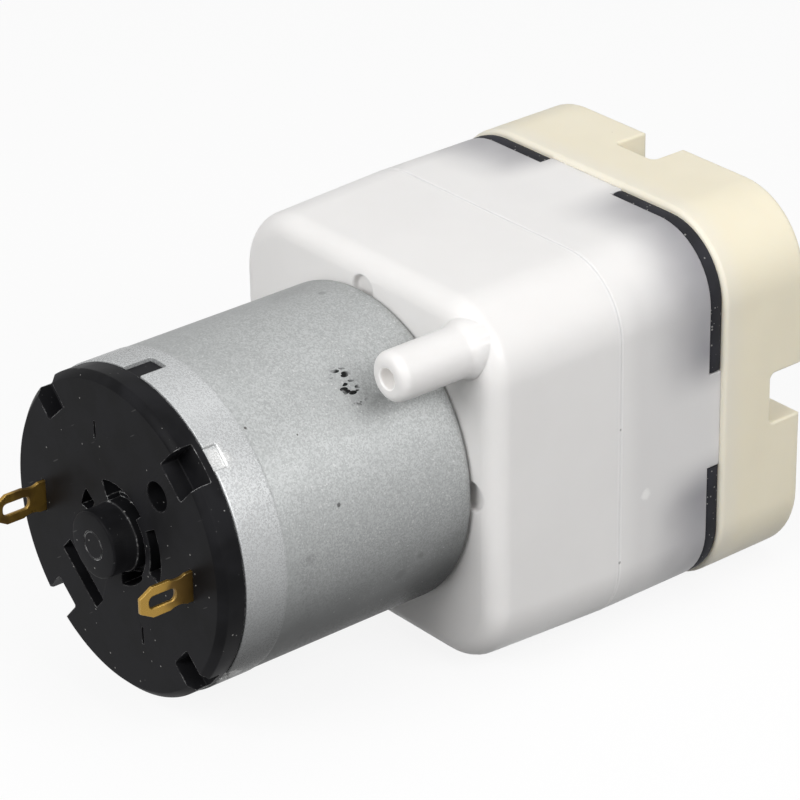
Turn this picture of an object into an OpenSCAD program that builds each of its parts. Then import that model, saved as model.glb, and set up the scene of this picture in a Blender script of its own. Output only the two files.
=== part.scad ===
// Mini air pump: a small direct-current motor drives a wobble plate that works
// four rubber diaphragm cups. Millimetres. Y runs along the motor's axis towards
// the cover, Z is up, and the origin is on the axis at the motor's front face.
// Every piece is drawn with its axis along z, and along_axis() lays it along Y.
// Angles are seen from the motor's end, from +X (0) towards +Z (90).

/* [Motor] */
// Outside diameter of the motor can
motor_d = 32; // [31:0.5:33]
// Length of the can, from its rim to its front face
motor_len = 26.8; // [25:0.2:34]
// Thickness of the can's drawn steel
can_wall = 0.9; // [0.8:0.05:1.1]
// Radius of the can's front edge
can_edge_r = 0.8; // [0.4:0.1:1.2]
// Length of the swaged band at the can's rim
rim_band_len = 4.6; // [4:0.2:6]
// Height of that band above the can
rim_band_rise = 0.08; // [0.04:0.01:0.12]
// Diameter of the bearing boss on the can's front face
front_boss_d = 6; // [5.8:0.1:6.6]
// Length of that boss beyond the front face
front_boss_len = 1.6; // [1.2:0.1:2.2]
// Diameter of the shaft
shaft_d = 2; // [1.8:0.1:2.3]
// Outside diameter of the two shaft bearings
bush_d = 4.6; // [4.2:0.1:4.9]
// Length of each shaft bearing
bush_len = 2.6; // [2:0.1:2.8]
// Thickness of the magnets
magnet_t = 3.3; // [2.8:0.1:3.6]
// Angle that each magnet spans
magnet_span = 124; // [110:1:130]
// Length of the magnets beyond each end of the core
magnet_over = 1.2; // [0.6:0.1:1.6]
// Gap between the magnets and the turning core
air_gap = 0.5; // [0.4:0.05:0.7]
// Width of the core's teeth
tooth_w = 3.2; // [2.6:0.1:3.6]
// Thickness of the core's pole shoes
shoe_t = 1.6; // [1.2:0.1:2]
// Width of the slots between the pole shoes
slot_w = 2.2; // [1.6:0.1:3]
// Thickness of the wire wound on each tooth, to each side of it
winding_t = 2.2; // [1.6:0.1:2.4]
// Outside diameter of the commutator
comm_d = 5.8; // [5.2:0.1:6.2]
// Length of the commutator with its collar
comm_len = 4.4; // [4:0.1:5]
// Distance from the can's rim plane to the commutator
comm_set = 1.6; // [1.4:0.1:2]

/* [End cap] */
// Thickness of the flange that seats on the can's rim
cap_flange_t = 0.8; // [0.7:0.1:1.2]
// Thickness of the cap's disc behind the flange, as deep as the crimp notches
cap_disc_t = 1.9; // [1.6:0.1:2.2]
// Step from the can's side in to the cap's side
cap_set = 0.05; // [0.02:0.01:0.2]
// Chamfer round the disc's face
cap_chamfer = 0.65; // [0.4:0.05:0.9]
// Diameter of the bearing boss
cap_boss_d = 6.6; // [6.4:0.1:7.4]
// Length of the bearing boss beyond the face
cap_boss_len = 2.6; // [2.5:0.1:3.4]
// Length of the collar that plugs into the can
cap_plug_len = 3; // [2.9:0.1:3.4]
// Wall of that collar
cap_plug_wall = 1.2; // [0.9:0.1:1.4]
// Distance from the axis to the floor of the crimp notches
notch_floor_r = 12.7; // [12.3:0.1:13]
// Width of the widest crimp notch
notch_w = 3.9; // [3.2:0.1:4.2]
// Width of the rim windows in the can
window_w = 2.5; // [2:0.1:3]
// Length of the rim windows in the can
window_len = 3; // [3:0.1:3.6]

/* [Terminals] */
// Distance from the can's side in to each terminal
terminal_set = 4.6; // [4.2:0.1:5]
// Width of the terminals
terminal_w = 3.1; // [2.4:0.1:3.4]
// Thickness of the terminals
terminal_t = 0.4; // [0.3:0.05:0.5]
// Length of the terminals beyond the end cap's face
terminal_len = 5.8; // [5.2:0.2:8]
// Width of the terminals' eyelets
eyelet_w = 1.2; // [1:0.1:1.4]

/* [Pump head] */
// Width of the head across its flats, at the seam
head_w = 38.64; // [38.4:0.08:40]
// Corner radius of the head
head_corner_r = 7.3; // [6.6:0.1:7.6]
// Length of the base, from the motor's front face to the seam
base_len = 15.4; // [15:0.2:17]
// Thickness of the base's floor
base_floor = 3; // [2.6:0.1:3.4]
// Wall of the base and the holder
head_wall = 1.9; // [1.6:0.1:2.2]
// Draft of the base, the step from the seam in to the front face
base_draft = 0.38; // [0.1:0.02:0.6]
// Rounding of the base's front edge
base_front_r = 2.2; // [1.2:0.1:2.6]
// Length of the diaphragm holder
holder_len = 11.6; // [11.2:0.1:13]
// Thickness of the holder's deck round the cups
deck_t = 4.4; // [4:0.1:4.8]
// Length of the holder's locating lip inside the base
lip_len = 1.5; // [1:0.1:2]
// Width of the tongues at the middle of each side
tongue_w = 10.1; // [9.6:0.1:11]
// Thickness of the rubber sheet
sheet_t = 1.45; // [1.2:0.05:1.8]

/* [Cover] */
// Step from the head's side out to the cover's side
cover_step = 0.52; // [0.3:0.02:0.8]
// Corner radius of the cover
cover_corner_r = 8.3; // [7.8:0.1:8.6]
// Length of the cover
cover_len = 10.65; // [10.2:0.05:12]
// Thickness of the cover's end wall
cover_end_t = 2.8; // [2.4:0.1:3]
// Rounding of the cover's far edge
cover_edge_r = 0.7; // [0.4:0.1:1]
// Rounding of the cover's near edge
cover_lip_r = 0.5; // [0.3:0.1:0.7]
// Width of the screw notches
cover_notch_w = 5.4; // [5.2:0.1:6.2]
// Depth of the screw notches along the axis
cover_notch_len = 4.35; // [3.6:0.05:4.6]
// Rounding of the notches' corners and lips
cover_notch_r = 0.6; // [0.3:0.1:0.8]
// Diameter of the air inlet holes in the end wall
inlet_d = 1.6; // [1.2:0.1:2]
// Radius of the circle of inlet holes
inlet_circle_r = 3.6; // [3:0.1:4]

/* [Screws] */
// Distance from the head's side in to each cover screw
screw_set = 3.62; // [3.5:0.02:3.9]
// Diameter of the cover screws
screw_d = 2.7; // [2.4:0.1:2.9]
// Head diameter of the cover screws
screw_head_d = 4.6; // [4.2:0.1:5]
// Head height of the cover screws
screw_head_h = 1.8; // [1.4:0.1:2.2]
// Length of the cover screws under the head
screw_len = 28; // [26:0.5:29.5]
// How much wider than the screws the open holes in the base's front face are
front_hole_over = 0.2; // [0.1:0.05:0.6]
// Depth of those holes
front_hole_len = 3.6; // [3:0.1:4]
// Distance from the axis to the two motor screws
motor_screw_r = 8.2; // [8.2:0.1:8.8]
// Diameter of the motor screws
motor_screw_d = 2.5; // [2:0.1:2.6]
// Head diameter of the motor screws
motor_head_d = 4.4; // [4:0.1:4.6]
// Head height of the motor screws
motor_head_h = 1.3; // [1:0.1:1.6]

/* [Outlet] */
// Outside diameter of the outlet nozzle
nozzle_d = 5; // [4.4:0.1:5.2]
// Length of the nozzle beyond the base's front face
nozzle_len = 9; // [7:0.2:12]
// Bore of the nozzle and of the air passage behind it
nozzle_bore = 2; // [1.6:0.1:2.2]
// Rounding of the nozzle's tip
nozzle_tip_r = 1; // [0.5:0.1:1.2]
// Step of the nozzle's foot round the nozzle
nozzle_foot = 0.4; // [0.2:0.05:0.45]
// Distance from the head's right side in to the nozzle's axis
nozzle_side = 4.82; // [4.5:0.02:4.9]
// Distance from the head's top in to the nozzle's axis
nozzle_drop = 4.52; // [4.3:0.02:4.7]

/* [Mechanism] */
// Distance of each cup from the axis, across and up
cup_offset = 8; // [7.9:0.05:8.1]
// Outside diameter of the rubber cups
cup_d = 12.4; // [12:0.1:12.6]
// Wall of the rubber cups
cup_wall = 0.6; // [0.5:0.05:0.7]
// Diameter of the cups' thick floors
floor_d = 7.2; // [6.8:0.1:7.4]
// Thickness of the cups' thick floors
floor_t = 1.6; // [1.2:0.1:2]
// Diameter of the stems on the cup floors
stem_d = 3; // [2.6:0.1:3.4]
// Tilt of the wobble plate
tilt = 7; // [5:0.25:7.5]
// Distance from the cup floors' mid-plane to the holder's end face
floor_drop = 4.8; // [4.6:0.1:5.2]
// Gap between the wobble plate and the cup floors' mid-plane
plate_drop = 2.4; // [2.2:0.1:2.8]
// Thickness of the wobble plate's arms
plate_t = 1.6; // [1.4:0.1:2]
// Width of the wobble plate's arms
arm_w = 4.4; // [3.8:0.1:5]
// Diameter of the wobble plate's hub
hub_d = 6; // [5.4:0.1:6.6]
// Diameter of the inclined crank pin
pin_d = 1.9; // [1.6:0.05:2]
// Diameter of the eccentric's flange
eccentric_d = 10.4; // [10:0.1:10.8]
// Diameter of the eccentric's upper part
eccentric_neck_d = 7.6; // [7.2:0.1:8]
// Height of the eccentric's flange
eccentric_flange_t = 4.8; // [4.4:0.1:5]
// Height of the whole eccentric
eccentric_len = 9; // [8.8:0.1:9.2]
// Diameter of the valve heads
valve_d = 3.8; // [3.4:0.1:4]
// Thickness of the valve heads
valve_t = 0.6; // [0.4:0.05:0.8]
// Diameter of the valve stems
valve_stem_d = 1.1; // [1:0.05:1.2]
// Diameter of the air holes round each valve stem
port_d = 0.8; // [0.6:0.05:0.9]
// Distance of the valves from the middle of their cup
valve_shift = 3; // [2.8:0.05:3.1]
// Thickness of the valve plate
valve_plate_t = 2.5; // [2.2:0.1:2.8]

/* [Fits] */
// Side clearance between pieces that slip together
slip = 0.15; // [0.1:0.01:0.2]
// Radial clearance of a turning piece
running = 0.03; // [0.02:0.01:0.06]
// Radial gap of pressed and threaded pieces
press = 0.01; // [0.005:0.005:0.02]
// Gap between faces that lie against each other
seat = 0.05; // [0.02:0.01:0.1]
// Gap round the cup floors and the cup walls
cup_gap = 0.25; // [0.2:0.05:0.35]

/* [Hidden] */
$fn = 64;
// Facets of the rounded shells, and a small overlap that opens cuts cleanly
shell_fn = 32;
cut = 0.5;
sides = [0, 90, 180, 270];
corners = [45, 135, 225, 315];

// Motor can and end cap
can_r = motor_d / 2;
can_in_r = can_r - can_wall;
rim = -motor_len;
cap_side_r = can_r - cap_set;
cap_face = rim - cap_flange_t - cap_disc_t;
boss_end = cap_face - cap_boss_len;
boss_wall = 0.8;
boss_chamfer = 0.22;
boss_mark_r = 1.3;
boss_mark_w = 0.12;
boss_mark_depth = 0.08;
cap_r = can_in_r - slip / 2;
terminal_r = can_r - terminal_set;
// Lands on the cap's inner face that hold the terminals, and the lugs in the rim windows
land_t = 1.2;
land_w = 2.2;
land_side = 0.8;
lug_set = 0.25;
// Crimp notches: angle, and width as a difference from the widest
notches = [[45.7, 0], [132.6, -0.5], [-43, -1], [-132, -0.6]];
crimp_w = 2.2;
crimp_len = 1.3;
crimp_depth = 0.35;
// Open slots round the bearing boss: inner and outer radius, first and last angle
boss_slots = [[cap_boss_d / 2 + 0.6, cap_boss_d / 2 + 2.2, 40, 112],
  [cap_boss_d / 2 + 0.6, cap_boss_d / 2 + 2.2, 142, 170],
  [cap_boss_d / 2 + 1.95, cap_boss_d / 2 + 3.55, -22, 30],
  [cap_boss_d / 2 + 0.6, cap_boss_d / 2 + 1.5, -86, -32]];
// Groove round the foot of the boss: inner and outer radius, first and last angle
boss_groove = [cap_boss_d / 2 + 0.15, cap_boss_d / 2 + 1.2, -82, 108];
boss_groove_depth = 1.4;
vent_r = 9.6;
vent_angle = 45.6;
vent_d = 2.9;
pocket_r = 8.5;
pocket_angle = 228;
pocket_w = 1.85;
pocket_len = 6.6;
pocket_depth = 1.8;
slit_w = 0.25;
slit_depth = 0.4;
// Fine slits in the cap's face: x, lowest and highest z
slits = [[-2.55, 9.1, 10.9], [3.45, -9.9, -8.1]];

// Bearings, shaft and armature
rear_bush_z = boss_end + boss_wall;
front_bush_z = front_boss_len - bush_len - seat;
shaft_rear = rear_bush_z + 0.3;
bush_r = bush_d / 2;
shaft_r = shaft_d / 2;
magnet_out_r = can_in_r - seat;
magnet_in_r = magnet_out_r - magnet_t;
core_r = magnet_in_r - air_gap;
comm_z = rim + comm_set;
comm_front = comm_z + comm_len;
front_room = 2.6;
core_z = comm_front + slip + seat + winding_t;
core_len = -can_wall - front_room - slip - winding_t - core_z;
core_hub_r = 3.4;
winding_half_w = tooth_w / 2 + slip + winding_t;
winding_in_r = core_hub_r + 0.8;
winding_out_r = sqrt(pow(core_r - shoe_t, 2) - pow(winding_half_w, 2)) - slip;
collar_t = 0.8;
collar_r = comm_d / 2 + 0.9;
segment_t = 0.5;
segment_gap = 8;
segment_set = 0.2;
washer_t = 0.5;
washer_r = 2;
spacer_r = 1.7;
motor_screw_end = 1;
clip_wire_r = 0.45;
clip_r = magnet_out_r - 0.6;
clip_angle = 90 - magnet_span / 2 - asin((clip_wire_r + seat) / clip_r);

// Brushes and terminals
brush_t = 1.4;
brush_w = 2.6;
brush_len = 2.2;
brush_z = comm_z + 0.35;
brush_in = comm_d / 2 + seat;
arm_t = 0.25;
arm_len = brush_len - 0.2;
arm_bow = 4.6;
arm_foot = 1;
arm_tip = 0.2;
pad_half = 1.1;
brush_wear = 0.4;
brush_set = 0.1;
terminal_mid = -0.3;
terminal_in = brush_z + arm_len;
tip_w = 1.5;
tip_len = 1.4;
eyelet_start = 1.9;
eyelet_end = 4.8;
waist_r = 2;
waist_at = 1.6;
waist_set = 1.78;

// Pump head along the axis
seam = base_len;
holder_end = seam + holder_len;
sheet_end = holder_end + sheet_t;
cover_end = sheet_end + cover_len;
head_half = head_w / 2;
screw_r = head_half - screw_set;
nozzle_x = head_half - nozzle_side;
nozzle_z = head_half - nozzle_drop;
front_half = head_half - base_draft;
cover_half = head_half + cover_step;
cavity_half = front_half - head_wall;
cavity_r = head_corner_r - head_wall;
boss_r = screw_d / 2 + 1.7;
deck = holder_end - deck_t;
passage_r = sqrt(nozzle_x * nozzle_x + nozzle_z * nozzle_z);
passage_angle = atan2(nozzle_z, nozzle_x);
pillar_r = nozzle_bore / 2 + 1.4;
tongue_in = screw_r - 0.4;
lip_t = 1;
sheet_gap = 0.2;

// Cover and valves
cup_r0 = cup_offset * sqrt(2);
pocket_half = cover_half - head_wall;
pocket_corner_r = cover_corner_r - head_wall;
block_wall = 1;
// The lips' circles stand this far over both faces, which they meet at a slight angle
lip_over = 0.05;
block_half_w = cover_notch_w / 2 + block_wall;
notch_floor = cover_end - cover_notch_len;
notch_in = screw_r - screw_head_d / 2 - slip;
block_in = notch_in - block_wall;
ledge = 0.9;
plate_end = sheet_end + valve_plate_t;
chamber_end = cover_end - cover_end_t;
ring_r = cup_r0 - 0.85;
ring_t = 0.8;
intake_r = cup_r0 - valve_shift;
exhaust_r = cup_r0 + valve_shift;
inlet_recess_r = inlet_circle_r + inlet_d / 2 + 0.8;
inlet_recess = 0.6;
port_r = (valve_stem_d + port_d) / 2 + 0.25;
valve_bulb_r = valve_stem_d / 2 + 0.25;
valve_tip_r = valve_stem_d / 2 - 0.1;
bulb_len = 0.6;

// Mechanism
pivot = holder_end - floor_drop;
well_r = cup_d / 2 + 0.4;
cup_r = cup_d / 2;
cup_in_r = cup_r - cup_wall;
roll_in_r = floor_d / 2 + cup_gap;
roll_mid_r = (cup_r + roll_in_r) / 2;
roll_r = (cup_r - roll_in_r) / 2;
plate_top = pivot - plate_drop;
plate_low = plate_top - plate_t;
pin_r = pin_d / 2;
eccentric_z = base_floor + 0.6;
eccentric_end = eccentric_z + eccentric_len;
shaft_hold = 3.8;
shaft_front = eccentric_z + shaft_hold;
relief_r = 0.8;
relief_at = eccentric_d / 2 - relief_r - 0.7;
relief_depth = 2.6;
relief_angle = 50;
hub_low = eccentric_end + 0.8;
pin_low = shaft_front + 0.7;
pin_high = plate_top - 1;
pad_r = stem_d / 2 + 1.9;
pin_room = 0.2;
rib_t = 1.2;
rib_in = hub_d / 2 - 0.5;
rib_foot = hub_low + 0.8;
rib_out = cup_r0 - pad_r + 0.6;
shoulder_r = stem_d / 2 + 0.9;
barb_r = stem_d / 2 + 0.6;
barb_len = 1.6;
barb_tip_r = stem_d / 2 - 0.2;
floor_bevel = 0.3;

// Lays a piece that is drawn along z along the pump's Y axis
module along_axis() {
  rotate([-90, 0, 0]) children();
}

// Turns a piece to an angle seen from the motor's end, at a radius
module at(angle, r = 0) {
  rotate([0, 0, -angle]) translate([r, 0, 0]) children();
}

// Tilts a piece about the wobble centre
module tilted() {
  translate([0, 0, pivot]) rotate([0, -tilt, 0]) translate([0, 0, -pivot]) children();
}

module tube(r_out, r_in, z0, z1) {
  translate([0, 0, z0]) linear_extrude(z1 - z0) difference() {
    circle(r_out);
    circle(r_in);
  }
}

module rod(r, z0, z1) {
  translate([0, 0, z0]) cylinder(r = r, h = z1 - z0);
}

module cone(r0, r1, z0, z1) {
  translate([0, 0, z0]) cylinder(r1 = r0, r2 = r1, h = z1 - z0);
}

// A block along a radius: from r0 to r1, w wide, from z0 to z1
module bar(r0, r1, w, z0, z1) {
  translate([r0, -w / 2, z0]) cube([r1 - r0, w, z1 - z0]);
}

module ring_sector(r0, r1, a0, a1, z0, z1) {
  rotate([0, 0, -a1]) rotate_extrude(angle = a1 - a0) translate([r0, z0]) square([r1 - r0, z1 - z0]);
}

module rounded_square(half, r) {
  square([2 * half, 2 * (half - r)], center = true);
  square([2 * (half - r), 2 * half], center = true);
  for (x = [-1, 1], y = [-1, 1]) translate([x * (half - r), y * (half - r)]) circle(r);
}

module rounded_block(half, r, z0, z1) {
  translate([0, 0, z0]) linear_extrude(z1 - z0) rounded_square(half, r);
}

// A rounded square shell through sections of [z, half width, corner radius]
module lofted(sections) {
  skin = 0.01;
  hull() for (s = sections) {
    translate([0, 0, min(s[0], sections[len(sections) - 1][0] - skin)])
      linear_extrude(skin) rounded_square(s[1], s[2], $fn = shell_fn);
  }
}

// Sections of an edge rounding: dir is 1 where it opens along z and -1 where it closes
function edge(z, half, corner, r, dir, steps = 4) = [for (i = [0 : steps])
  let (a = 90 * (dir > 0 ? i : steps - i) / steps)
  [z + dir * r * (1 - cos(a)), half - r * (1 - sin(a)), corner - r * (1 - sin(a))]];

// A round cut along the air passage from the cover to the nozzle
module passage(r, z0, z1) {
  at(passage_angle, passage_r) rod(r, z0, z1);
}

module screw_holes(r, z0, z1) {
  for (a = sides) at(a, screw_r) rod(r, z0, z1);
}

// Walls that stand in the head's hollow: screw bosses and the outlet pillar
module head_posts(extra, z0, z1) {
  for (a = sides) {
    at(a, screw_r) rod(boss_r + extra, z0, z1);
    at(a) bar(screw_r, head_half, 2 * (boss_r + extra), z0, z1);
  }
  passage(pillar_r + extra, z0, z1);
}

// The tongues that stand through the sheet, and the cut-outs for them
module tongues(extra, z0, z1, r_out) {
  for (a = sides) {
    at(a) bar(tongue_in - extra, r_out, tongue_w + 2 * extra, z0, z1);
    at(a, screw_r) rod(boss_r + extra, z0, z1);
  }
}

module motor_can() {
  color([0.72, 0.73, 0.74]) along_axis() difference() {
    union() {
      rotate_extrude() difference() {
        union() {
          translate([0, rim]) square([can_r, motor_len - can_edge_r]);
          translate([0, rim]) square([can_r - can_edge_r, motor_len]);
          translate([can_r - can_edge_r, -can_edge_r]) circle(can_edge_r);
          translate([0, rim]) square([can_r + rim_band_rise, rim_band_len]);
        }
        translate([-cut, rim - cut]) square([can_in_r + cut, motor_len - can_wall + cut]);
      }
      rod(front_boss_d / 2, -can_wall, front_boss_len);
    }
    rod(bush_r + press, -can_wall - cut, front_boss_len + cut);
    for (a = [90, 270]) at(a) bar(can_in_r - cut, can_r + cut, window_w, rim - cut, rim + window_len);
    for (n = notches) at(n[0])
      bar(can_r + rim_band_rise - crimp_depth, can_r + cut, crimp_w, rim - cut, rim + crimp_len);
    for (a = [0, 180]) at(a, motor_screw_r) rod(motor_screw_d / 2 + press, -can_wall - cut, cut);
  }
}

// The cap's disc with its crimp notches, rooted in the flange
module cap_disc() {
  difference() {
    union() {
      rod(cap_side_r, cap_face + cap_chamfer, rim - cap_flange_t / 2);
      cone(cap_side_r - cap_chamfer, cap_side_r, cap_face, cap_face + cap_chamfer);
    }
    for (n = notches) at(n[0])
      bar(notch_floor_r, can_r + cut, notch_w + n[1], cap_face - cut, rim + cut);
  }
}

module cap_openings() {
  for (s = boss_slots) ring_sector(s[0], s[1], s[2], s[3], cap_face - cut, rim + cut);
  ring_sector(boss_groove[0], boss_groove[1], boss_groove[2], boss_groove[3], cap_face - cut,
    cap_face + boss_groove_depth);
  at(vent_angle, vent_r) rod(vent_d / 2, cap_face - cut, rim + cut);
  at(pocket_angle) translate([pocket_r - pocket_w / 2, -pocket_len / 2, cap_face - cut])
    cube([pocket_w, pocket_len, pocket_depth + cut]);
  for (s = slits) translate([s[0] - slit_w / 2, -s[2], cap_face - cut])
    cube([slit_w, s[2] - s[1], slit_depth + cut]);
}

module end_cap() {
  color([0.1, 0.1, 0.11]) along_axis() difference() {
    union() {
      rod(cap_side_r, rim - cap_flange_t, rim);
      cap_disc();
      rod(cap_boss_d / 2, boss_end + boss_chamfer, cap_face + cut);
      cone(cap_boss_d / 2 - boss_chamfer, cap_boss_d / 2, boss_end, boss_end + boss_chamfer);
      tube(cap_r, cap_r - cap_plug_wall, rim - cut, rim + cap_plug_len);
      for (a = [90, 270]) at(a)
        bar(cap_r - cap_plug_wall, can_r - lug_set, window_w - 2 * slip, rim - cut,
          rim + window_len - slip);
      for (a = [0, 180]) at(a, terminal_r) translate([0, -terminal_mid * cos(a), 0])
        bar(-land_w / 2, land_w / 2, terminal_w + 2 * land_side, rim - cut, rim + land_t);
    }
    cap_openings();
    rod(bush_r + press, rear_bush_z, rim + land_t);
    tube(boss_mark_r + boss_mark_w, boss_mark_r, boss_end - cut, boss_end + boss_mark_depth);
    for (a = [0, 180]) at(a, terminal_r) translate([0, -terminal_mid * cos(a), 0])
      bar(-terminal_t / 2 - seat, terminal_t / 2 + seat, terminal_w + 2 * seat, cap_face - cut,
        rim + land_t + cut);
  }
}

module bush(z0) {
  tube(bush_r, shaft_r + running, z0, z0 + bush_len);
}

module rear_bearing() {
  color([0.66, 0.52, 0.34]) along_axis() bush(rear_bush_z + seat);
}

module front_bearing() {
  color([0.66, 0.52, 0.34]) along_axis() bush(front_bush_z);
}

module field_magnets() {
  color([0.22, 0.22, 0.24]) along_axis() for (a = [90, 270])
    ring_sector(magnet_in_r, magnet_out_r, a - magnet_span / 2, a + magnet_span / 2,
      core_z - magnet_over, core_z + core_len + magnet_over);
}

module magnet_clip() {
  z0 = core_z - magnet_over;
  color([0.75, 0.76, 0.78]) along_axis() {
    for (a = [-1, 1]) at(a * clip_angle, clip_r) {
      rod(clip_wire_r, z0, z0 + core_len);
      translate([0, 0, z0 + core_len]) sphere(clip_wire_r);
    }
    translate([0, 0, z0]) rotate([0, 0, -clip_angle]) rotate_extrude(angle = 2 * clip_angle)
      translate([clip_r, 0]) circle(clip_wire_r);
    for (a = [-1, 1]) at(a * clip_angle, clip_r) translate([0, 0, z0]) sphere(clip_wire_r);
  }
}

// Flat outline of a terminal: x across it, y outwards from the cap's face
module terminal_outline() {
  inner = terminal_in - cap_face;
  difference() {
    union() {
      translate([-terminal_w / 2, -inner]) square([terminal_w, inner + terminal_len - tip_len]);
      polygon([[-terminal_w / 2, terminal_len - tip_len], [terminal_w / 2, terminal_len - tip_len],
        [tip_w / 2, terminal_len], [-tip_w / 2, terminal_len]]);
    }
    for (side = [-1, 1]) translate([side * (terminal_w / 2 + waist_set), waist_at]) circle(waist_r);
    for (y = [eyelet_start + eyelet_w / 2, eyelet_end - eyelet_w / 2])
      translate([0, y]) circle(eyelet_w / 2);
    translate([-eyelet_w / 2, eyelet_start + eyelet_w / 2])
      square([eyelet_w, eyelet_end - eyelet_start - eyelet_w]);
  }
}

module terminal(side) {
  translate([side * terminal_r - terminal_t / 2, -terminal_mid, cap_face])
    rotate([0, 90, 0]) linear_extrude(terminal_t) rotate(-90) terminal_outline();
}

module terminal_left() {
  color([0.72, 0.55, 0.25]) along_axis() terminal(-1);
}

module terminal_right() {
  color([0.72, 0.55, 0.25]) along_axis() terminal(1);
}

// A flat spring leaf through points in the motor's cross-section
module leaf(points, t) {
  for (i = [0 : len(points) - 2]) {
    d = points[i + 1] - points[i];
    translate(points[i]) rotate(atan2(d[1], d[0])) translate([0, -t / 2]) square([norm(d), t]);
    translate(points[i]) circle(t / 2);
  }
}

module brush_arms() {
  pad_x = terminal_r - terminal_t / 2 - arm_t / 2;
  back_x = brush_in + brush_t + arm_t / 2;
  color([0.78, 0.6, 0.3]) along_axis() for (a = [0, 180]) rotate([0, 0, a])
    translate([0, 0, brush_z]) linear_extrude(arm_len)
      leaf([[pad_x, pad_half], [pad_x, -pad_half], [pad_x - arm_bow / 2, -arm_bow],
        [back_x, -brush_w / 2 - arm_foot], [back_x, brush_w / 2 + arm_tip]], arm_t);
}

module brushes() {
  color([0.16, 0.16, 0.17]) along_axis() for (a = [0, 180]) rotate([0, 0, a])
    translate([0, 0, brush_z - brush_set]) linear_extrude(brush_len) difference() {
      translate([brush_in - brush_wear, -brush_w / 2]) square([brush_t + brush_wear, brush_w]);
      circle(brush_in);
    }
}

module machine_screw(d, head_d, head_h, z_seat, length) {
  cross_len = head_d * 0.56;
  cross_w = head_d * 0.16;
  rim_h = head_h * 0.6;
  top_r = head_d * 0.36;
  difference() {
    union() {
      rod(d / 2, z_seat - length, z_seat + rim_h / 2);
      rod(head_d / 2, z_seat, z_seat + rim_h);
      cone(head_d / 2, top_r, z_seat + rim_h, z_seat + head_h);
    }
    for (a = [0, 90]) rotate([0, 0, a])
      bar(-cross_len / 2, cross_len / 2, cross_w, z_seat + rim_h * 0.75, z_seat + head_h + cut);
  }
}

module motor_screws() {
  color([0.7, 0.7, 0.72]) along_axis() for (a = [0, 180]) at(a, motor_screw_r)
    machine_screw(motor_screw_d, motor_head_d, motor_head_h, base_floor,
      base_floor + can_wall + motor_screw_end);
}

module nozzle() {
  rod(nozzle_d / 2, -nozzle_len + nozzle_tip_r, 0);
  cone(nozzle_d / 2, nozzle_d / 2 + nozzle_foot, -2 * nozzle_foot, -nozzle_foot);
  rod(nozzle_d / 2 + nozzle_foot, -nozzle_foot, base_front_r);
  translate([0, 0, -nozzle_len]) rotate_extrude() intersection() {
    union() {
      square([nozzle_d / 2 - nozzle_tip_r, nozzle_tip_r + cut]);
      translate([nozzle_d / 2 - nozzle_tip_r, nozzle_tip_r]) circle(nozzle_tip_r);
    }
    square([nozzle_d, nozzle_tip_r]);
  }
}

module pump_base() {
  color([0.94, 0.94, 0.95]) along_axis() difference() {
    union() {
      lofted(concat(edge(0, front_half, head_corner_r, base_front_r, 1),
        [[seam, head_half, head_corner_r]]));
      at(passage_angle, passage_r) nozzle();
    }
    difference() {
      rounded_block(cavity_half, cavity_r, base_floor, seam + cut);
      head_posts(0, 0, seam + 2 * cut);
    }
    rod(front_boss_d / 2 + slip, -cut, base_floor + cut);
    screw_holes((screw_d + front_hole_over) / 2, -cut, front_hole_len);
    screw_holes(screw_d / 2 + press, front_hole_len - cut, seam + cut);
    for (a = [0, 180]) at(a, motor_screw_r) rod(motor_screw_d / 2 + slip, -cut, base_floor + cut);
    passage(nozzle_bore / 2, -nozzle_len - cut, seam + cut);
  }
}

module holder_lip() {
  difference() {
    rounded_block(cavity_half - slip, cavity_r - slip, seam - lip_len, seam + cut);
    rounded_block(cavity_half - slip - lip_t, cavity_r - slip - lip_t, seam - lip_len - cut,
      seam + 2 * cut);
    head_posts(slip, seam - lip_len - cut, seam + 2 * cut);
  }
}

module cup_places() {
  for (a = corners) at(a, cup_r0) children();
}

module diaphragm_holder() {
  color([0.93, 0.93, 0.94]) along_axis() difference() {
    union() {
      rounded_block(head_half, head_corner_r, seam, holder_end);
      tongues(0, holder_end - cut, sheet_end, head_half);
      holder_lip();
    }
    difference() {
      rounded_block(cavity_half - slip - lip_t, cavity_r - slip - lip_t, seam - cut, deck);
      head_posts(0, seam - 2 * cut, deck + cut);
    }
    cup_places() rod(well_r, deck - cut, holder_end + cut);
    screw_holes(screw_d / 2 + slip, seam - cut, sheet_end + cut);
    passage(nozzle_bore / 2, seam - cut, holder_end + cut);
  }
}

// Level of each cup's floor at rest, on the tilted plate
function floor_at(angle) = pivot + cup_r0 * sin(tilt) * cos(angle);

// A cup's wall with its rolled foot, hung from the sheet
module cup_skin(z) {
  tube(cup_r, cup_in_r, z, holder_end + sheet_t / 2);
  translate([0, 0, z]) rotate_extrude() intersection() {
    difference() {
      translate([roll_mid_r, 0]) circle(roll_r);
      translate([roll_mid_r, 0]) circle(roll_r - cup_wall);
    }
    translate([0, -roll_r]) square([cup_r, roll_r]);
  }
}

module diaphragm() {
  color([0.12, 0.12, 0.13]) along_axis() {
    difference() {
      rounded_block(head_half, head_corner_r, holder_end, sheet_end);
      tongues(slip, holder_end - cut, sheet_end + cut, head_half + cut);
      cup_places() rod(cup_in_r, holder_end - cut, sheet_end + cut);
      passage(nozzle_bore / 2 + sheet_gap, holder_end - cut, sheet_end + cut);
    }
    for (a = corners) at(a, cup_r0) cup_skin(floor_at(a));
  }
}

// Outline of the hollow behind the sheet, less the blocks that carry the screws
module cover_outline(inset) {
  difference() {
    rounded_square(pocket_half - inset, pocket_corner_r - inset);
    for (a = sides) rotate(-a) translate([block_in - inset, -block_half_w - inset])
      square([cover_half, 2 * (block_half_w + inset)]);
  }
}

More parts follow.
